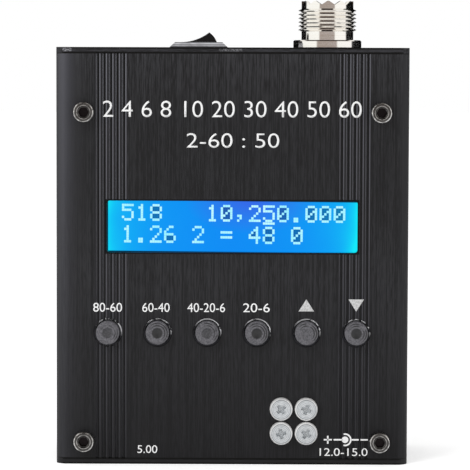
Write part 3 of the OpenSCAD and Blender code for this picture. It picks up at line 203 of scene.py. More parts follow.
def new_finish(name, settings):
    """A material with one Principled shader. Returns the material, its node tree and the shader."""
    finish = bpy.data.materials.new(name)
    finish.use_nodes = True
    tree = finish.node_tree
    tree.nodes.clear()
    shader = add(tree, "BsdfPrincipled", settings)
    add(tree, "OutputMaterial", {"Surface": shader.outputs[0]})
    return finish, tree, shader


OWN_LIGHT = 0.45
paper, tree, shader = new_finish("white_paper", {"Roughness": 0.9, "Emission Color": linear("FFFFFF")})
fibres = add(tree, "TexNoise", {"Vector": add(tree, "TexCoord").outputs["Object"], "Scale": 400.0})
tone = add(tree, "ValToRGB", {"Fac": fibres.outputs["Fac"]}, stops=[(0.3, "EDEDED"), (0.7, "F3F3F3")])
tree.links.new(tone.outputs[0], shader.inputs["Base Color"])
seen = add(tree, "LightPath").outputs["Is Camera Ray"]
glow = add(tree, "Math", {0: seen, 1: OWN_LIGHT}, operation="MULTIPLY")
tree.links.new(glow.outputs[0], shader.inputs["Emission Strength"])

SHEET_HALF, SHEET_DROP = 6.0, 0.02 * MM
bm = bmesh.new()
bmesh.ops.create_grid(bm, x_segments=2, y_segments=2, size=SHEET_HALF)
bmesh.ops.translate(bm, verts=bm.verts, vec=(0, 0, cad_box[0].z - SHEET_DROP))
sheet = keep(bm, "white_sheet", paper)
sheet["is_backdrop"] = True
print("sheet", 2 * SHEET_HALF, "m wide")

# %% [markdown]
# ## Patterns with a real scale
# Most finishes need the same thing: some unevenness of a known size that changes the colour, the gloss and
# the height of the surface a little. `grain` gives such a pattern from Object coordinates, so its size is in
# real millimetres, and it can be drawn out along an axis to make brushed lines. `dress` lets one pattern
# drive colour, roughness and relief together, as wear and tooling do on a real part.

# %% Pattern helpers
finishes = {}


def place(tree):
    """Object coordinates in metres."""
    return add(tree, "TexCoord").outputs["Object"]


def grain(tree, spacing, stretch=(1, 1, 1), detail=2.0):
    """Noise with marks about spacing millimetres apart, drawn out along each axis by stretch."""
    scale = [1 / (spacing * MM * s) for s in stretch]
    scaled = add(tree, "Mapping", {"Vector": place(tree), "Scale": scale})
    return add(tree, "TexNoise", {"Vector": scaled.outputs[0], "Scale": 1.0, "Detail": detail}).outputs["Fac"]


def dress(tree, shader, pattern, dark, light, gloss, relief):
    """One pattern drives colour, roughness and, in millimetres, height."""
    colour = add(tree, "ValToRGB", {"Fac": pattern}, stops=[(0.3, dark), (0.7, light)])
    rough = add(tree, "MapRange", {"Value": pattern, "From Min": 0.3, "From Max": 0.7,
                                   "To Min": gloss[0], "To Max": gloss[1]})
    bump = add(tree, "Bump", {"Height": pattern, "Distance": relief * MM, "Strength": 1.0})
    tree.links.new(colour.outputs[0], shader.inputs["Base Color"])
    tree.links.new(rough.outputs[0], shader.inputs["Roughness"])
    tree.links.new(bump.outputs[0], shader.inputs["Normal"])
    return colour.outputs[0]


def simple_finish(slot, name, settings, spacing, colours, gloss, relief, stretch=(1, 1, 1)):
    """A finish with one pattern, kept under its slot."""
    finish, tree, shader = new_finish(name, settings)
    dress(tree, shader, grain(tree, spacing, stretch), *colours, gloss, relief)
    finishes[slot] = finish
    return finish


def radius_about(tree, centres, fold, axis):
    """Distance in metres to the nearest of a few mirrored centres, measured across an axis."""
    turned = add(tree, "VectorMath", {0: place(tree), 1: [-c * MM for c in centres]}, operation="ADD")
    folded = add(tree, "VectorMath", {0: turned.outputs[0]}, operation="ABSOLUTE")
    offset = add(tree, "VectorMath", {0: folded.outputs[0], 1: [f * MM for f in fold]}, operation="SUBTRACT")
    flat = add(tree, "VectorMath", {0: offset.outputs[0], 1: [0 if a == axis else 1 for a in "XYZ"]},
               operation="MULTIPLY")
    return add(tree, "VectorMath", {0: flat.outputs[0]}, operation="LENGTH").outputs["Value"]


def band(tree, value, low, high, soft):
    """1 where a length lies between low and high millimetres, fading over soft millimetres outside."""
    rise = add(tree, "MapRange", {"Value": value, "From Min": (low - soft) * MM, "From Max": low * MM})
    fall = add(tree, "MapRange", {"Value": value, "From Min": high * MM, "From Max": (high + soft) * MM,
                                  "To Min": 1.0, "To Max": 0.0})
    return add(tree, "Math", {0: rise.outputs[0], 1: fall.outputs[0]}, operation="MULTIPLY").outputs[0]


print("pattern helpers ready")

# %% [markdown]
# ## The case
# The case is black anodised aluminium, extruded and then brushed along its length. Anodising leaves a thin
# clear oxide layer with black dye in it, which looks like a hard dark lacquer with a soft sheen, so the
# shader isn't a metal one and its IOR is that of the oxide. Long streaks and short scratches carry the
# brushing, clearest near the top. Two ramps over Z and X paint light into the colour: the bar is painted
# lighter towards its top, with a painted highlight over its left shoulder and a fainter one at its right edge.

# %% Black anodised aluminium
FACE_Y, LOW_Z, HIGH_Z, HALF_WIDTH = -20.0, 1.5, 111.5, 47.75
# Painted light: the bar is painted lighter towards its top, and a painted highlight lies on its shoulders.
BAR_LIGHT_RAMP = [(0.0, "B0B0B0"), (0.12, "B8B8B8"), (0.25, "CACACA"), (0.45, "DEDEDE"), (0.66, "C2C2C2"),
            (0.8, "C6C6C6"), (0.91, "D6D6D6"), (1.0, "EEEEEE")]
SHOULDER_HIGHLIGHT_RAMP = [(0.0, "2D2D30"), (0.01, "45454A"), (0.022, "4E4E54"), (0.041, "38383D"), (0.058, "2C2C2F"),
                 (0.1, "1A1A1C"), (0.96, "1A1A1C"), (0.98, "262629"), (1.0, "2A2A2D")]


def anodised(name, stretch, dark, light):
    """Black anodising over brushed aluminium, brushed along one axis."""
    finish, tree, shader = new_finish(name, {"Metallic": 0.0, "IOR": 1.6, "Specular IOR Level": 0.2})
    streaks = grain(tree, 0.3, stretch, 3.0)
    scratches = grain(tree, 0.22, [max(1, s / 6) for s in stretch])
    both = add(tree, "Mix", {0: 0.5, 2: streaks, 3: scratches}, data_type="FLOAT").outputs[0]
    sharp = add(tree, "MapRange", {"Value": both, "From Min": 0.34, "From Max": 0.66}).outputs[0]
    colour = dress(tree, shader, sharp, dark, light, (0.36, 0.5), 0.006)
    return finish, tree, shader, colour


case_finish, tree, shader, colour = anodised("black_anodised_brushed_aluminium", (1, 1, 110),
                                             "0B0B0C", "3F3F42")
parts = add(tree, "SeparateXYZ", {"Vector": place(tree)}).outputs
along_bar = add(tree, "MapRange", {"Value": parts["Z"], "From Min": LOW_Z * MM, "From Max": HIGH_Z * MM})
across_bar = add(tree, "MapRange", {"Value": parts["X"], "From Min": -HALF_WIDTH * MM,
                                    "From Max": HALF_WIDTH * MM})
# These two ramps paint light into the colour: lighter towards the top, and highlights on the shoulders.
painted_bar_light = add(tree, "ValToRGB", {"Fac": along_bar.outputs[0]}, stops=BAR_LIGHT_RAMP)
painted_shoulder_highlight = add(tree, "ValToRGB", {"Fac": across_bar.outputs[0]}, stops=SHOULDER_HIGHLIGHT_RAMP)
towards_top = add(tree, "MapRange", {"Value": along_bar.outputs[0], "From Min": 0.3, "To Min": 0.28})
calm = add(tree, "MapRange", {"Value": along_bar.outputs[0], "To Min": 0.58, "To Max": 0.25})
colour = add(tree, "Mix", {0: calm.outputs[0], 6: colour, 7: linear("28282C")}, data_type="RGBA").outputs[2]
colour = add(tree, "Mix", {0: 1.0, 6: colour, 7: painted_bar_light.outputs[0]}, data_type="RGBA",
             blend_type="MULTIPLY").outputs[2]
colour = add(tree, "Mix", {0: towards_top.outputs[0], 6: colour, 7: painted_shoulder_highlight.outputs[0]},
             data_type="RGBA", blend_type="LIGHTEN").outputs[2]
print("brushed bar ready")

# %% [markdown]
# ## Edges of the grooves and the cut ends
# The grooves of the two bands get painted light: a painted highlight along their arrises, strongest near the
# top of the case and in the left band, and painted shade along their floors. Every groove looks the same, so X
# is wrapped over one groove pitch and one ramp colours a whole band. Painted shade blackens the cut ends of
# the bar, at the seams with the end plates, and a thin rim round the window.

# %% Groove bands and end lines
GROOVE_PITCH, FIRST_GROOVE, LAST_GROOVE, LEFT_SHIFT, RIGHT_SHIFT = 1.75, 29.45, 36.45, 0.24, 0.12
# Painted light across one groove pitch: painted highlights on the arrises, painted shade on the walls and
# floors.
GROOVE_LIGHT_AND_SHADE = [(0.0, "141416"), (0.07, "242427"), (0.14, "66666C"), (0.24, "707076"), (0.31, "303033"),
               (0.38, "050506"), (0.55, "000000"), (0.61, "1A1A1C"), (0.69, "646469"), (0.79, "6A6A72"),
               (0.87, "202022"), (0.93, "141416")]
outward = add(tree, "Math", {0: parts["X"]}, operation="ABSOLUTE").outputs[0]
on_left = add(tree, "Math", {0: parts["X"], 1: 0.0}, operation="LESS_THAN").outputs[0]
to_groove = add(tree, "MapRange", {"Value": on_left, "To Min": -(FIRST_GROOVE + RIGHT_SHIFT) * MM,
                                   "To Max": (LAST_GROOVE - LEFT_SHIFT) * MM}).outputs[0]
from_groove = add(tree, "Math", {0: parts["X"], 1: to_groove}, operation="ADD").outputs[0]
wrapped = add(tree, "Math", {0: from_groove, 1: GROOVE_PITCH / 2 * MM, 2: -GROOVE_PITCH / 2 * MM},
              operation="WRAP").outputs[0]
in_pitch = add(tree, "MapRange", {"Value": wrapped, "From Min": -GROOVE_PITCH / 2 * MM,
                                  "From Max": GROOVE_PITCH / 2 * MM}).outputs[0]
painted_groove_light = add(tree, "ValToRGB", {"Fac": in_pitch}, stops=GROOVE_LIGHT_AND_SHADE)
in_band = band(tree, outward, FIRST_GROOVE - 0.85, LAST_GROOVE + 0.85, 0.1)
# The painted groove light is strongest near the top of the case and in the left band.
groove_light_fade = add(tree, "MapRange", {"Value": along_bar.outputs[0], "To Min": 0.1, "To Max": 1.0}).outputs[0]
lit_band_share = add(tree, "MapRange", {"Value": on_left, "To Min": 0.8}).outputs[0]
groove_light_fade = add(tree, "Math", {0: groove_light_fade, 1: lit_band_share}, operation="MULTIPLY").outputs[0]
painted_groove_share = add(tree, "Math", {0: in_band, 1: groove_light_fade}, operation="MULTIPLY").outputs[0]
colour = add(tree, "Mix", {0: painted_groove_share, 6: colour, 7: painted_groove_light.outputs[0]},
             data_type="RGBA").outputs[2]
middle = add(tree, "Math", {0: parts["Z"], 1: (LOW_Z + HIGH_Z) / 2 * MM}, operation="SUBTRACT").outputs[0]
height = add(tree, "Math", {0: middle}, operation="ABSOLUTE").outputs[0]
HALF_BAR, PLATE_T = (HIGH_Z - LOW_Z) / 2, 1.5
# Painted shade in the seams where the bar meets the end plates.
bar_seam_shade = band(tree, height, HALF_BAR - 0.2, HALF_BAR, 0.1)
WINDOW_Z, WINDOW_W, WINDOW_H, WINDOW_RIM = 64.6, 67.8, 14.0, 0.35
window_up = add(tree, "Math", {0: parts["Z"], 1: WINDOW_Z * MM}, operation="SUBTRACT").outputs[0]
window_up = add(tree, "Math", {0: window_up}, operation="ABSOLUTE").outputs[0]
beside = add(tree, "Math", {0: outward, 1: WINDOW_W / 2 * MM}, operation="SUBTRACT").outputs[0]
above = add(tree, "Math", {0: window_up, 1: WINDOW_H / 2 * MM}, operation="SUBTRACT").outputs[0]
off_window = add(tree, "Math", {0: beside, 1: above}, operation="MAXIMUM").outputs[0]
front_half = add(tree, "Math", {0: parts["Y"], 1: 0.0}, operation="LESS_THAN").outputs[0]
# Painted shade in a thin rim round the window.
rim = add(tree, "Math", {0: band(tree, off_window, -1, WINDOW_RIM, 0.12), 1: front_half},
          operation="MULTIPLY").outputs[0]
rim = add(tree, "Math", {0: rim, 1: bar_seam_shade}, operation="MAXIMUM").outputs[0]
# 020202 is the painted shade of the window rim and of the seams.
colour = add(tree, "Mix", {0: rim, 6: colour, 7: linear("020202")}, data_type="RGBA").outputs[2]
print("groove bands ready")

# %% [markdown]
# ## Chamfers of the button holes
# The chamfers of the button holes are dark, with their inner edge painted a little lighter as a painted
# highlight. A brighter painted highlight lies in thin broken arcs along that edge, round the upper side of
# each cap. All points of such a chamfer share one sum, the distance from the hole's axis plus Y, so comparing
# that sum with a constant picks the cone out.

# %% Chamfers with painted highlights
BUTTON_PITCH, BUTTON_Z, HOLE_R, CHAMFER, BUTTONS = 13.45, 35.9, 3.5, 0.4, 6


def about_button(tree, parts):
    """Sideways, upward and straight distance from the axis of the nearest button, in metres."""
    cell = add(tree, "Math", {0: parts["X"], 1: BUTTON_PITCH * MM, 2: 0.0}, operation="WRAP").outputs[0]
    aside = add(tree, "Math", {0: cell, 1: BUTTON_PITCH / 2 * MM}, operation="SUBTRACT").outputs[0]
    above = add(tree, "Math", {0: parts["Z"], 1: BUTTON_Z * MM}, operation="SUBTRACT").outputs[0]
    spread = add(tree, "CombineXYZ", {"X": aside, "Y": above}).outputs[0]
    return aside, above, add(tree, "VectorMath", {0: spread}, operation="LENGTH").outputs["Value"]


aside, above, from_axis = about_button(tree, parts)
cone_sum = add(tree, "Math", {0: from_axis, 1: parts["Y"]}, operation="ADD").outputs[0]
cone = add(tree, "Math", {0: cone_sum, 1: (HOLE_R + CHAMFER + FACE_Y) * MM, 2: 0.06 * MM},
           operation="COMPARE").outputs[0]
in_row = add(tree, "Math", {0: outward, 1: BUTTONS / 2 * BUTTON_PITCH * MM}, operation="LESS_THAN").outputs[0]
chamfer = add(tree, "Math", {0: cone, 1: in_row}, operation="MULTIPLY").outputs[0]
# The painted highlight keeps to the upper side of each hole and is broken up by noise.
upper = add(tree, "MapRange", {"Value": add(tree, "Math", {0: aside, 1: 0.4, 2: above},
                                            operation="MULTIPLY_ADD").outputs[0],
                               "From Min": 0.3 * MM, "From Max": 2.0 * MM}).outputs[0]
broken = add(tree, "MapRange", {"Value": grain(tree, 1.2), "From Min": 0.37, "From Max": 0.45}).outputs[0]
inner = band(tree, from_axis, HOLE_R - 0.1, HOLE_R + CHAMFER / 2, 0.04)
highlight_band = band(tree, from_axis, HOLE_R - 0.1, HOLE_R + 0.8 * CHAMFER, 0.04)
arc_highlight = chamfer
for factor in (upper, broken, highlight_band):
    arc_highlight = add(tree, "Math", {0: arc_highlight, 1: factor}, operation="MULTIPLY").outputs[0]
# The inner edge of the chamfer is painted lighter, a painted highlight.
lighter_edge = add(tree, "Mix", {0: inner, 6: linear("1C1C1E"), 7: linear("4C4C50")}, data_type="RGBA").outputs[2]
colour = add(tree, "Mix", {0: chamfer, 6: colour, 7: lighter_edge}, data_type="RGBA").outputs[2]
# FAFAFC is the painted highlight in arcs on the chamfers.
colour = add(tree, "Mix", {0: arc_highlight, 6: colour, 7: linear("FAFAFC")}, data_type="RGBA").outputs[2]
tree.links.new(colour, shader.inputs["Base Color"])
finishes["case_black"] = case_finish
print("chamfers ready")

# %% [markdown]
# ## The end plates
# The end plates are sawn from anodised sheet, brushed across. Painted shade draws two thin black lines along
# their front edges, at the seam with the bar and at the outer rim, with a strip of face between them. The top
# plate's edge has a painted highlight near its left corner and a pale patch in the middle.

# %% Anodised sheet
finish, tree, shader, colour = anodised("black_anodised_aluminium_sheet", (60, 1, 1), "1C1C1E", "343438")
parts = add(tree, "SeparateXYZ", {"Vector": place(tree)}).outputs
middle = add(tree, "Math", {0: parts["Z"], 1: (LOW_Z + HIGH_Z) / 2 * MM}, operation="SUBTRACT").outputs[0]
height = add(tree, "Math", {0: middle}, operation="ABSOLUTE").outputs[0]
in_front = add(tree, "Math", {0: parts["Y"], 1: (FACE_Y + 0.25) * MM}, operation="LESS_THAN").outputs[0]
# Painted shade at the seam with the bar and along the plate's outer rim, on the front only.
plate_seam_shade = band(tree, height, HALF_BAR, HALF_BAR + 0.25, 0.08)
rim = band(tree, height, HALF_BAR + PLATE_T - 0.4, HALF_BAR + PLATE_T, 0.08)
lines = add(tree, "Math", {0: plate_seam_shade, 1: rim}, operation="MAXIMUM").outputs[0]
lines = add(tree, "Math", {0: lines, 1: in_front}, operation="MULTIPLY").outputs[0]
lower = add(tree, "Math", {0: parts["Z"], 1: LOW_Z * MM}, operation="LESS_THAN").outputs[0]
colour = add(tree, "Mix", {0: lower, 6: colour, 7: linear("1F1F21")}, data_type="RGBA").outputs[2]
# Black 000000 is that painted shade.
colour = add(tree, "Mix", {0: lines, 6: colour, 7: linear("000000")}, data_type="RGBA").outputs[2]
# Pale patches on the top plate's edge: the first, at the left corner, is a painted highlight.
PALE_EDGE_PATCHES = [(-46.0, -43.7, 111.9, 112.75, "88888D"), (-3.4, 2.4, 112.0, 112.55, "6C6C70")]
lighter_edge = add(tree, "MapRange", {"Value": grain(tree, 0.35), "From Min": 0.42, "From Max": 0.56}).outputs[0]
lighter_edge = add(tree, "Math", {0: lighter_edge, 1: in_front}, operation="MULTIPLY").outputs[0]
for left, right_end, low, high, tone in PALE_EDGE_PATCHES:
    patch = add(tree, "Math", {0: band(tree, parts["X"], left, right_end, 0.4),
                               1: band(tree, parts["Z"], low, high, 0.1)}, operation="MULTIPLY").outputs[0]
    patch = add(tree, "Math", {0: patch, 1: lighter_edge}, operation="MULTIPLY").outputs[0]
    colour = add(tree, "Mix", {0: patch, 6: colour, 7: linear(tone)}, data_type="RGBA").outputs[2]
tree.links.new(colour, shader.inputs["Base Color"])
finishes["end_plate_black"] = finish
print("end plates ready")

# %% [markdown]
# ## Screws and plated steel
# Lathe-turned heads carry fine rings about their axis. All four heads of a set are reached with one pattern:
# the coordinates are moved to the middle of the set and folded with their absolute value, so that the four
# centres fall on one. The distance from it then gives the lathe rings, and rings of painted highlight at the
# rim and round the socket.

# %% Turned steel and zinc plate
def turned_finish(slot, name, centre, fold, axis, colours, gloss, rings, relief, highlight_rings=(), socket_shade=None,
                  metallic=1.0, patchy=False):
    """Metal turned on a lathe, with rings about folded axes, rings millimetres apart. The highlight rings
    hold inner radius, outer radius and colour of rings of painted highlight, and the socket shade holds the
    radius, the depth along Y and the colour of painted shade in a socket. patchy highlight rings show in
    places only."""
    finish, tree, shader = new_finish(name, {"Metallic": metallic})
    radius = radius_about(tree, centre, fold, axis)
    phase = add(tree, "Math", {0: radius, 1: 6.2832 / (rings * MM)}, operation="MULTIPLY").outputs[0]
    wave = add(tree, "Math", {0: phase}, operation="SINE").outputs[0]
    lathe = add(tree, "MapRange", {"Value": wave, "From Min": -1.0}).outputs[0]
    mixed = add(tree, "Mix", {0: 0.6, 2: lathe, 3: grain(tree, 0.8)}, data_type="FLOAT").outputs[0]
    colour = dress(tree, shader, mixed, *colours, gloss, relief)
    kept = add(tree, "MapRange", {"Value": grain(tree, 1.1), "From Min": 0.4, "From Max": 0.56,
                                  "To Min": 0.3 if patchy else 1.0}).outputs[0]
    # Rings of painted highlight.
    for inner, outer, tone in highlight_rings:
        zone = add(tree, "Math", {0: band(tree, radius, inner, outer, 0.1), 1: kept}, operation="MULTIPLY")
        colour = add(tree, "Mix", {0: zone.outputs[0], 6: colour, 7: linear(tone)},
                     data_type="RGBA").outputs[2]
    # Painted shade in the socket.
    if socket_shade:
        depth = add(tree, "SeparateXYZ", {"Vector": place(tree)}).outputs["Y"]
        wall, floor = band(tree, radius, 0, socket_shade[0], 0.02), band(tree, depth, socket_shade[1], 0, 0.1)
        inside = add(tree, "Math", {0: wall, 1: floor}, operation="MULTIPLY").outputs[0]
        colour = add(tree, "Mix", {0: inside, 6: colour, 7: linear(socket_shade[2])}, data_type="RGBA").outputs[2]
    tree.links.new(colour, shader.inputs["Base Color"])
    finishes[slot] = finish


# Steel screws: painted highlight rings round the socket and at the rim, and painted shade in the hex socket.
turned_finish("screw_steel", "turned_bare_steel", (0, 0, 50.9), (40.1, 0, 44.6), "Y",
              ("3A3938", "6E6C6A"), (0.26, 0.4), 0.35, 0.01,
              highlight_rings=[(1.76, 1.9, "C4C2C0"), (2.46, 2.7, "ECEAE8")], socket_shade=(1.7, -22.58, "262223"), patchy=True)
turned_finish("black_screw", "black_oxide_steel", (0, 0, 0), (44.85, 17.1, 0), "Z",
              ("1B1B1C", "333335"), (0.3, 0.45), 0.3, 0.006)
# Cover screws: a painted grey ring of shade and a white painted highlight on the rim.
turned_finish("cover_screw_zinc", "milky_zinc_plate_on_turned_steel", (16.8, 0, 11.9), (3.4, 0, 3.3), "Y",
              ("C6CBCF", "EDF0F2"), (0.42, 0.55), 0.45, 0.006,
              highlight_rings=[(2.5, 2.6, "A9AEB2"), (2.75, 3.2, "FFFFFF")], metallic=0.5)
simple_finish("zinc_plated_steel", "bright_zinc_plate", {"Metallic": 1.0}, 0.7, ("A9ABAE", "D6D7D9"),
              (0.25, 0.42), 0.008)
print("screw finishes ready")

# %% [markdown]
# ## Nickel, brass and tin
# The coaxial socket is turned brass with bright nickel plate. Nickel is a little warm and mirrors the tent,
# so its look is mostly reflection. The lathe's feed leaves rings one above the other, so the pattern runs
# along Z. Tinned and brass pieces inside are duller.

# %% Plated metals
finish, tree, shader = new_finish("nickel_plated_brass", {"Metallic": 1.0})
feed = grain(tree, 0.22, (60, 60, 1))
dress(tree, shader, feed, "F6F3EE", "FFFEFC", (0.05, 0.12), 0.003)
finishes["nickel_plate"] = finish
simple_finish("contact_brass", "gold_washed_brass", {"Metallic": 1.0}, 0.4, ("C29A4C", "E3C27A"),
              (0.2, 0.34), 0.006)
simple_finish("tinned_tag", "hot_tinned_brass", {"Metallic": 1.0}, 1.2, ("9C9B96", "C9C8C2"),
              (0.3, 0.5), 0.02)
simple_finish("tinned_wire", "tinned_copper_wire", {"Metallic": 1.0}, 0.6, ("A3A29D", "CFCEC8"),
              (0.25, 0.4), 0.01, (1, 1, 8))
simple_finish("can_steel", "tinned_steel_can", {"Metallic": 1.0}, 1.0, ("AEAFB2", "D2D3D5"),
              (0.2, 0.35), 0.008, (12, 1, 1))
print("plated finishes ready")

# %% [markdown]
# ## Moulded plastic
# Moulded parts take the grain of their tool. The button caps are dark grey with a fine spark-eroded grain.
# Painted shade darkens their dimples, less in three of them, and marks two faint rings of a step that the
# mould's core left, mostly on the caps' upper right. The rocker is glossier. The switch's bezel is light grey
# nylon with lines of painted shade at its foot, at its step and along its upper edge. The resin of chips and
# switch bodies is matt and slightly speckled with filler.

# %% Plastics
# Painted shade in the dimples, weaker in three caps.
DIMPLE_R, LESS_SHADED_DIMPLES = 1.3, ((14.0, 26.5, 0.1), (-13.0, -0.5, 0.55), (-40.0, -27.0, 0.6))
finish, tree, shader = new_finish("dark_grey_abs_with_tool_grain", {"IOR": 1.53})
colour = dress(tree, shader, grain(tree, 0.4), "454449", "737277", (0.45, 0.6), 0.02)
parts = add(tree, "SeparateXYZ", {"Vector": place(tree)}).outputs
aside, above, from_axis = about_button(tree, parts)
dimple_shade = band(tree, from_axis, -1.0, DIMPLE_R, 0.3)
for low, high, share in LESS_SHADED_DIMPLES:
    near = band(tree, parts["X"], low, high, 0.5)
    kept = add(tree, "MapRange", {"Value": near, "To Min": 1.0, "To Max": share})
    dimple_shade = add(tree, "Math", {0: dimple_shade, 1: kept.outputs[0]}, operation="MULTIPLY").outputs[0]
# 2B2B2D is the painted shade in the dimples.
colour = add(tree, "Mix", {0: dimple_shade, 6: colour, 7: linear("2B2B2D")}, data_type="RGBA").outputs[2]
# Painted shade of a small step in two rings, stronger on the upper right.
SHADED_STEP_RINGS = ((2.0, 2.14), (2.6, 2.74))
slant = add(tree, "Math", {0: aside, 1: above}, operation="ADD").outputs[0]
rings = add(tree, "Math", {0: band(tree, from_axis, *SHADED_STEP_RINGS[0], 0.12),
                           1: band(tree, from_axis, *SHADED_STEP_RINGS[1], 0.12)}, operation="MAXIMUM").outputs[0]
for low, high, pattern in ((-1.0 * MM, 1.2 * MM, slant), (0.36, 0.5, grain(tree, 3.0))):
    shown = add(tree, "MapRange", {"Value": pattern, "From Min": low, "From Max": high}).outputs[0]
    rings = add(tree, "Math", {0: rings, 1: shown}, operation="MULTIPLY").outputs[0]
colour = add(tree, "Mix", {0: rings, 6: colour, 7: linear("1C1C1E")}, data_type="RGBA").outputs[2]
tree.links.new(colour, shader.inputs["Base Color"])
finishes["button_grey"] = finish
simple_finish("rocker_black", "gloss_black_polycarbonate", {"IOR": 1.58, "Specular IOR Level": 0.25}, 0.8,
              ("050506", "0E0E10"), (0.16, 0.26), 0.01)
BEZEL_FOOT_Z = 113.0
# Lines of painted shade on the bezel: at its foot, at a step and along its upper edge.
BEZEL_SHADE_LINES = ((-0.1, 0.35, "444448"), (0.8, 0.96, "8C8C90"), (1.38, 1.46, "505054"), (1.54, 1.6, "98989B"))
finish, tree, shader = new_finish("light_grey_nylon", {"IOR": 1.53})
dress(tree, shader, grain(tree, 0.6), "8E8E8F", "AEAEB0", (0.3, 0.45), 0.02)
level = add(tree, "SeparateXYZ", {"Vector": place(tree)}).outputs["Z"]
rise = add(tree, "Math", {0: level, 1: BEZEL_FOOT_Z * MM}, operation="SUBTRACT").outputs[0]
mottle = add(tree, "ValToRGB", {"Fac": grain(tree, 2.5)}, stops=[(0.35, "B0B0B4"), (0.65, "D4D4D8")])
colour = mottle.outputs[0]
for low, high, tone in BEZEL_SHADE_LINES:
    colour = add(tree, "Mix", {0: band(tree, rise, low, high, 0.1), 6: colour, 7: linear(tone)},
                 data_type="RGBA").outputs[2]
tree.links.new(colour, shader.inputs["Base Color"])
finishes["bezel_grey"] = finish
simple_finish("moulded_black", "black_epoxy_mould_compound", {"IOR": 1.5}, 0.25, ("1A1A1B", "2C2C2D"),
              (0.5, 0.7), 0.015)
simple_finish("trimmer_blue", "blue_trimmer_case", {"IOR": 1.5}, 0.4, ("1C4FA8", "2E66C4"),
              (0.3, 0.45), 0.01)
simple_finish("white_resin", "white_ptfe_resin", {"IOR": 1.38}, 0.5,
              ("E2DFD6", "F3F1EA"), (0.35, 0.5), 0.01)
simple_finish("light_panel_white", "white_light_guide", {"IOR": 1.49}, 1.0, ("DCE4EA", "F4F8FA"),
              (0.4, 0.5), 0.01)
simple_finish("display_frame_black", "black_painted_steel_sheet", {"IOR": 1.5}, 0.3, ("0B0C0E", "17181A"),
              (0.4, 0.55), 0.01)
simple_finish("capacitor_sleeve", "dark_blue_shrink_sleeve", {"IOR": 1.54}, 0.5, ("141A3C", "242C5A"),
              (0.2, 0.35), 0.01)
simple_finish("ferrite", "sintered_ferrite", {"IOR": 1.9}, 0.3, ("2A2724", "4A4540"), (0.5, 0.7), 0.03)
simple_finish("lead_red", "red_pvc_insulation", {"IOR": 1.53}, 0.5, ("A31818", "C42A22"), (0.3, 0.45), 0.01)
finishes["heatsink_black"] = anodised("black_anodised_heat_sink", (1, 1, 30), "141416", "26262A")[0]
print(len(finishes), "finishes so far")

# %% [markdown]
# ## Circuit boards
# A board is glass cloth in green resin, with copper tracks under a green lacquer and tinned pads. The tracks
# come from a brick pattern of millimetre size seen through noise, and the pads from a grid of round dots on
# the 2.54 mm pitch that leaded parts use.

# %% Green solder mask
finish, tree, shader = new_finish("green_solder_mask_on_glass_epoxy", {"IOR": 1.55, "Coat Weight": 0.3})
TRACK_PITCH, PAD_PITCH, PAD_R = 1.27, 2.54, 0.55
turned = add(tree, "Mapping", {"Vector": place(tree), "Rotation": (radians(90), 0, 0)}).outputs[0]
tracks = add(tree, "TexBrick", {"Vector": turned, "Color1": linear("0E4A2A"), "Color2": linear("0B3D22"),
                                "Mortar": linear("1F7A45"), "Scale": 1.0, "Mortar Size": 0.16 * MM,
                                "Brick Width": 4 * TRACK_PITCH * MM, "Row Height": TRACK_PITCH * MM})
shade = add(tree, "ValToRGB", {"Fac": grain(tree, 5.0)}, stops=[(0.35, "D9D9D9"), (0.65, "FFFFFF")])
lacquer = add(tree, "Mix", {0: 1.0, 6: tracks.outputs[0], 7: shade.outputs[0]}, data_type="RGBA",
              blend_type="MULTIPLY").outputs[2]
cell = add(tree, "VectorMath", {0: place(tree), 1: [PAD_PITCH * MM] * 3, 2: (0, 0, 0)}, operation="WRAP")
centre = add(tree, "VectorMath", {0: cell.outputs[0], 1: [PAD_PITCH / 2 * MM] * 3}, operation="SUBTRACT")
flat = add(tree, "VectorMath", {0: centre.outputs[0], 1: (1, 0, 1)}, operation="MULTIPLY")
from_pad = add(tree, "VectorMath", {0: flat.outputs[0]}, operation="LENGTH").outputs["Value"]
pad = add(tree, "Math", {0: from_pad, 1: PAD_R * MM}, operation="LESS_THAN").outputs[0]
some = add(tree, "Math", {0: grain(tree, 14.0), 1: 0.52}, operation="GREATER_THAN").outputs[0]
tinned = add(tree, "Math", {0: pad, 1: some}, operation="MULTIPLY").outputs[0]
board = add(tree, "Mix", {0: tinned, 6: lacquer, 7: linear("C8C6BE")}, data_type="RGBA").outputs[2]
weave = add(tree, "Bump", {"Height": tracks.outputs["Fac"], "Distance": 0.02 * MM})
tree.links.new(board, shader.inputs["Base Color"])
tree.links.new(tinned, shader.inputs["Metallic"])
tree.links.new(weave.outputs[0], shader.inputs["Normal"])
shader.inputs["Roughness"].default_value = 0.35
finishes["green_laminate"] = finish
print("board finish ready")

# %% [markdown]
# ## The lit display
# A blue character display has a lamp at each end, so its field is cyan there and a deeper blue in between.
# The light of a lamp sinks fast at first and then slowly, so two colours and the length in which the glow
# halves give the whole field. The glass node gets a dark gloss shader that also gives off this light. The
# characters are real shapes in front of it: each lit dot is a small raised square, placed by a pattern of
# seven rows of five. Inside closed figures the dots that stay off show as deeper squares of the same field.
# The display module sits a little askew behind its window, so the dots are turned by half a degree.

# %% Display glass
WINDOW_HALF, WINDOW_LOW, WINDOW_HIGH = 33.9, 57.43, 71.43
DEEP_BLUE, LAMP_CYAN, FALL_OFF = "0880F4", "10E8F8", 2.7
DUSK_X, DUSK_Z, DUSK_R, DISPLAY_TILT = 5.0, 71.5, 18.0, radians(0.45)


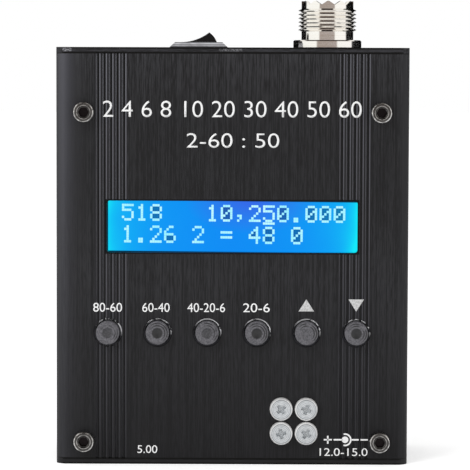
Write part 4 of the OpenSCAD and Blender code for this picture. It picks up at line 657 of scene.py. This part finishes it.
def lit_field(tree):
    """Colour of the lit display: the glow of a lamp at each end, which sinks to half FALL_OFF millimetres
    away from it, a duskier patch at the top, and edges a little askew."""
    parts = add(tree, "SeparateXYZ", {"Vector": place(tree)}).outputs
    wobble = add(tree, "MapRange", {"Value": grain(tree, 11.0, (1, 1, 1.4)), "To Min": -3.0 * MM,
                                    "To Max": 3.0 * MM})
    along = add(tree, "Math", {0: parts["X"], 1: wobble.outputs[0]}, operation="ADD").outputs[0]
    off_middle = add(tree, "Math", {0: along}, operation="ABSOLUTE").outputs[0]
    from_lamp = add(tree, "MapRange", {"Value": off_middle, "From Max": WINDOW_HALF * MM,
                                       "To Min": (WINDOW_HALF + FALL_OFF) * MM, "To Max": FALL_OFF * MM})
    glow = add(tree, "Math", {0: FALL_OFF * MM, 1: from_lamp.outputs[0]}, operation="DIVIDE").outputs[0]
    field = add(tree, "Mix", {0: glow, 6: linear(DEEP_BLUE), 7: linear(LAMP_CYAN)},
                data_type="RGBA").outputs[2]
    to_dusk = add(tree, "Mapping", {"Vector": place(tree), "Location": (-DUSK_X * MM, 0, -2 * DUSK_Z * MM),
                                    "Scale": (1, 0, 2)}).outputs[0]
    reach = add(tree, "VectorMath", {0: to_dusk}, operation="LENGTH").outputs["Value"]
    dusk = add(tree, "MapRange", {"Value": reach, "From Min": 2.0 * MM, "From Max": DUSK_R * MM,
                                  "To Min": 0.75, "To Max": 0.0}).outputs[0]
    field = add(tree, "Mix", {0: dusk, 6: field, 7: linear("3A5CE4")}, data_type="RGBA").outputs[2]
    askew = add(tree, "Math", {0: parts["X"], 1: sin(DISPLAY_TILT), 2: parts["Z"]}, operation="MULTIPLY_ADD")
    inside = add(tree, "Math", {0: band(tree, parts["X"], 0.25 - WINDOW_HALF, WINDOW_HALF, 0.1),
                                1: band(tree, askew.outputs[0], WINDOW_LOW + 0.3, WINDOW_HIGH - 0.1, 0.15)},
                 operation="MULTIPLY").outputs[0]
    return add(tree, "Mix", {0: inside, 6: linear("082D41"), 7: field}, data_type="RGBA").outputs[2]


finish, tree, shader = new_finish("lit_blue_liquid_crystal", {"IOR": 1.5, "Roughness": 0.25,
                                                              "Specular IOR Level": 0.05,
                                                              "Emission Strength": 1.0})
tree.links.new(lit_field(tree), shader.inputs["Emission Color"])
haze = add(tree, "ValToRGB", {"Fac": grain(tree, 2.0)}, stops=[(0.3, "020A14"), (0.7, "04101E")])
tree.links.new(haze.outputs[0], shader.inputs["Base Color"])
finishes["display_glass_blue"] = finish
print("lamps fall to half in", FALL_OFF, "mm")

# %% Characters as dots
DOTS = {
    "0": "01110 10001 10011 10101 11001 10001 01110", "1": "00100 01100 00100 00100 00100 00100 01110",
    "2": "01110 10001 00001 00010 00100 01000 11111", "3": "11111 00010 00100 00010 00001 10001 01110",
    "4": "00010 00110 01010 10010 11111 00010 00010", "5": "11111 10000 11110 00001 00001 10001 01110",
    "6": "00110 01000 10000 11110 10001 10001 01110", "8": "01110 10001 10001 01110 10001 10001 01110",
    "=": "00000 00000 11111 00000 11111 00000 00000", ".": "00000 00000 00000 00000 00000 01100 01100",
    ",": "00000 00000 00000 00000 01100 00100 01000",
}
LINES = [("518   10,250.000", 70.41, 0.651), ("1.26 2 = 48 0", 64.60, 0.672)]
GLASS_Y, COLUMN_X, COLUMN_PITCH, DOT_X, DOT_FILL, DOT_RAISE = -17.2, 0.3, 3.827, 0.64, 0.95, 0.05
CURSOR_LINE, CURSOR_COLUMN = 0, 10

lit_pixel, tree, shader = new_finish("lit_pixel", {"Roughness": 0.4, "Specular IOR Level": 0.1,
                                                   "Emission Strength": 1.0})
tone = add(tree, "ValToRGB", {"Fac": grain(tree, 6.0)}, stops=[(0.3, "9AF0FF"), (0.7, "C4FAFF")])
tree.links.new(tone.outputs[0], shader.inputs["Emission Color"])
shader.inputs["Base Color"].default_value = linear("10303A")
dark_pixel, tree, shader = new_finish("unlit_pixel", {"Roughness": 0.4, "Specular IOR Level": 0.1,
                                                      "Emission Strength": 0.45})
tree.links.new(lit_field(tree), shader.inputs["Emission Color"])
haze = add(tree, "ValToRGB", {"Fac": grain(tree, 2.0)}, stops=[(0.3, "020A14"), (0.7, "04101E")])
tree.links.new(haze.outputs[0], shader.inputs["Base Color"])
CLOSED_FIGURES = "0468"


def add_dot(bm, x, z, width, height):
    """One flat square facing the front, its middle at x and z."""
    there = Matrix.Translation((x * MM, (GLASS_Y - DOT_RAISE) * MM, z * MM))
    size = Matrix.Diagonal((width * MM, height * MM, 1, 1))
    bmesh.ops.create_grid(bm, x_segments=1, y_segments=1, size=0.5,
                          matrix=there @ Matrix.Rotation(radians(90), 4, "X") @ size)


def raise_dots(bm, name, material):
    """Turns the squares with the display, gives them their thickness and hands them to the case."""
    middle = Vector((COLUMN_X, GLASS_Y, (WINDOW_LOW + WINDOW_HIGH) / 2)) * MM
    bmesh.ops.rotate(bm, verts=bm.verts, cent=middle, matrix=Matrix.Rotation(DISPLAY_TILT, 3, "Y"))
    bmesh.ops.solidify(bm, geom=bm.faces[:], thickness=-DOT_RAISE * MM)
    bmesh.ops.recalc_face_normals(bm, faces=bm.faces)
    made = keep(bm, name, material)
    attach(made, "case")
    return made


lit, unlit = bmesh.new(), bmesh.new()
for row, (text, top, pitch) in enumerate(LINES):
    for column, sign in enumerate(text):
        if sign == " ":
            continue
        for line, bits in enumerate(DOTS[sign].split()):
            for bit, state in enumerate(bits):
                x = COLUMN_X + (column - 7.5) * COLUMN_PITCH + (bit - 2) * DOT_X
                z = top - (line + 0.5) * pitch
                if state == "1":
                    add_dot(lit, x, z, DOT_X * DOT_FILL, pitch * DOT_FILL)
                elif sign in CLOSED_FIGURES and bits.find("1") < bit < bits.rfind("1"):
                    add_dot(unlit, x, z, DOT_X * DOT_FILL, pitch * DOT_FILL)
        if (row, column) == (CURSOR_LINE, CURSOR_COLUMN):
            for bit in range(5):
                x = COLUMN_X + (column - 7.5) * COLUMN_PITCH + (bit - 2) * DOT_X
                add_dot(lit, x, top - 7.6 * pitch, DOT_X * DOT_FILL, pitch * DOT_FILL)
dot_count = len(lit.faces), len(unlit.faces)
raise_dots(lit, "display_lit_dots", lit_pixel)
raise_dots(unlit, "display_dark_dots", dark_pixel)
print("dots lit and dark:", dot_count)

# %% [markdown]
# ## Printing on the front
# The front carries white screen print: a row of plain numbers across the top, shorter numbers below it,
# a number or an arrow over each button, and the sign for the plug's polarity by the power socket. Ink lies
# on the surface, so the signs are thin solids of their own: letters come from the built-in font, turned into
# a mesh and fitted to a real height and width, and the arrows and the polarity sign from circles and grids.
# The two filled arrows took less ink than the fine lines, so their ink is greyer and a little speckled.

# %% Ink
INK_T, ARROWS_Z, ARROWS_X, ARROW_H = 0.02, 43.4, (20.1, 33.6), 3.3
ink, tree, shader = new_finish("white_screen_print_ink", {"IOR": 1.5})
colour = dress(tree, shader, grain(tree, 0.3), "F4F4F4", "FFFFFF", (0.5, 0.65), 0.01)
parts = add(tree, "SeparateXYZ", {"Vector": place(tree)}).outputs
thin = add(tree, "Math", {0: band(tree, parts["X"], ARROWS_X[0] - ARROW_H, ARROWS_X[1] + ARROW_H, 0.1),
                          1: band(tree, parts["Z"], ARROWS_Z - ARROW_H / 2, ARROWS_Z + ARROW_H / 2, 0.1)},
           operation="MULTIPLY").outputs[0]
speckled = add(tree, "ValToRGB", {"Fac": grain(tree, 0.5)}, stops=[(0.35, "B8B8B8"), (0.65, "D8D8D8")])
colour = add(tree, "Mix", {0: thin, 6: colour, 7: speckled.outputs[0]}, data_type="RGBA").outputs[2]
tree.links.new(colour, shader.inputs["Base Color"])
inked = bmesh.new()


def lay_ink(bm, x, z):
    """Turns a flat sign to face the front, moves it to x and z on the face and adds it to the print."""
    there = Matrix.Translation((x * MM, (FACE_Y - INK_T) * MM, z * MM))
    bmesh.ops.transform(bm, matrix=there @ Matrix.Rotation(radians(90), 4, "X"), verts=bm.verts)
    sign = bpy.data.meshes.new("sign")
    bm.to_mesh(sign)
    bm.free()
    inked.from_mesh(sign)
    bpy.data.meshes.remove(sign)


def print_numbers(text, x, z, height, width, stroke=0.0):
    """Numbers with their foot's middle at x and z, fitted to a height and a width in millimetres. stroke
    below zero gives the font's letters thinner strokes."""
    curve = bpy.data.curves.new("numbers", "FONT")
    curve.body = text
    curve.offset = stroke
    letters = bpy.data.objects.new("numbers", curve)
    scene.collection.objects.link(letters)
    flat = bpy.data.meshes.new_from_object(letters.evaluated_get(bpy.context.evaluated_depsgraph_get()))
    bpy.data.objects.remove(letters)
    xs, ys = [v.co.x for v in flat.vertices], [v.co.y for v in flat.vertices]
    middle, natural = (min(xs) + max(xs)) / 2, (max(xs) - min(xs)) * height / max(ys)
    fit = Matrix.Diagonal((width * MM / (max(xs) - min(xs)), height * MM / max(ys), 1, 1))
    flat.transform(fit @ Matrix.Translation((-middle, 0, 0)))
    bm = bmesh.new()
    bm.from_mesh(flat)
    bpy.data.meshes.remove(flat)
    lay_ink(bm, x, z)
    print(text, "drawn", round(width / natural, 2), "times its natural width")


FINE = -0.006
print_numbers("2 4 6 8 10 20 30 40 50 60", -0.1, 94.2, 4.4, 69.8, FINE)
print_numbers("2-60 : 50", 0.1, 86.0, 3.9, 25.0, FINE)
LABELS = (("80-60", -33.7, 7.8), ("60-40", -20.6, 7.4), ("40-20-6", -7.0, 10.2), ("20-6", 6.6, 7.2))
for number, x, width in LABELS:
    print_numbers(number, x, 41.5, 2.4, width)
print_numbers("5.00", -22.9, 3.0, 2.1, 5.4)
print_numbers("12.0-15.0", 30.4, 2.4, 2.1, 13.0)
print("ink", len(inked.faces), "faces")

# %% Arrows and polarity sign
def print_shape(x, z, build):
    """Adds a flat sign made by build, in millimetres about its own middle."""
    bm = bmesh.new()
    build(bm)
    bmesh.ops.scale(bm, vec=(MM, MM, MM), verts=bm.verts)
    lay_ink(bm, x, z)


def arrow(bm, direction):
    """A filled triangle that points up or down, 4.2 mm wide."""
    squeeze = Matrix.Diagonal((4.2 / 3 ** 0.5, ARROW_H / 1.5, 1, 1)) @ Matrix.Translation((0, -0.25, 0))
    bmesh.ops.create_circle(bm, cap_ends=True, segments=3, radius=1,
                            matrix=Matrix.Rotation(radians(90 - 90 * direction), 4, "Z") @ squeeze)


def bar(bm, width, height):
    bmesh.ops.create_grid(bm, x_segments=1, y_segments=1, size=0.5,
                          matrix=Matrix.Diagonal((width, height, 1, 1)))


def ball(bm, radius):
    bmesh.ops.create_circle(bm, cap_ends=True, segments=32, radius=radius)


def open_ring(bm, radius, line, gap):
    """A ring line mm thick, open to the left by twice gap degrees, spun from one short edge."""
    start = Matrix.Rotation(radians(180 + gap), 3, "Z")
    ends = [bm.verts.new(start @ Vector((r, 0, 0))) for r in (radius - line / 2, radius + line / 2)]
    edge = bm.edges.new(ends)
    bmesh.ops.spin(bm, geom=ends + [edge], cent=(0, 0, 0), axis=(0, 0, 1), steps=24,
                   angle=radians(360 - 2 * gap))


POLARITY_Z, LINE_T = 6.8, 0.42
print_shape(ARROWS_X[0], ARROWS_Z, lambda bm: arrow(bm, 1))
print_shape(ARROWS_X[1], ARROWS_Z, lambda bm: arrow(bm, -1))
print_shape(26.1, POLARITY_Z, lambda bm: bar(bm, 2.2, LINE_T))
print_shape(26.1, POLARITY_Z, lambda bm: bar(bm, LINE_T, 2.2))
print_shape(28.9, POLARITY_Z, lambda bm: bar(bm, 2.4, LINE_T))
print_shape(30.8, POLARITY_Z, lambda bm: ball(bm, 0.9))
print_shape(30.8, POLARITY_Z, lambda bm: open_ring(bm, 1.55, LINE_T, 75))
print_shape(33.5, POLARITY_Z, lambda bm: bar(bm, 2.0, LINE_T))
print_shape(36.0, POLARITY_Z, lambda bm: bar(bm, 2.0, LINE_T))
for face in inked.faces:
    face.normal_update()
bmesh.ops.reverse_faces(inked, faces=[face for face in inked.faces if face.normal.y > 0])
bmesh.ops.solidify(inked, geom=inked.faces[:], thickness=INK_T * MM)
face_print = keep(inked, "face_print", ink)
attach(face_print, "case")
print("face print", len(face_print.data.polygons), "faces")

# %% [markdown]
# ## Dressing the solids
# Every solid of the model names a material slot in its record, so one loop hands each its finish. The cover
# screws on the face are turned and show their rings, so they get the finish with rings. A solid's mesh stays
# as it is, and only its material slot is filled.

# %% Hand out the finishes
OWN_FINISH = {"trimmer_cover_screws": "cover_screw_zinc"}
for part in frame["record"]["subparts"]:
    solid = frame["nodes"][part["node"]]
    solid.data.materials.clear()
    solid.data.materials.append(finishes[OWN_FINISH.get(part["node"], part["material_slot"])])
print("dressed", len(frame["nodes"]), "solids")

# %% [markdown]
# Nothing that was added may reach outside the solids. The box round the dressed object is measured and set
# against the model's own box, and how much it grew is printed.

# %% Measure both boxes
dressed_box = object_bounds()
growth = (dressed_box[1] - dressed_box[0]) - (cad_box[1] - cad_box[0])
print("grown by", [round(side / MM, 3) for side in growth], "mm")
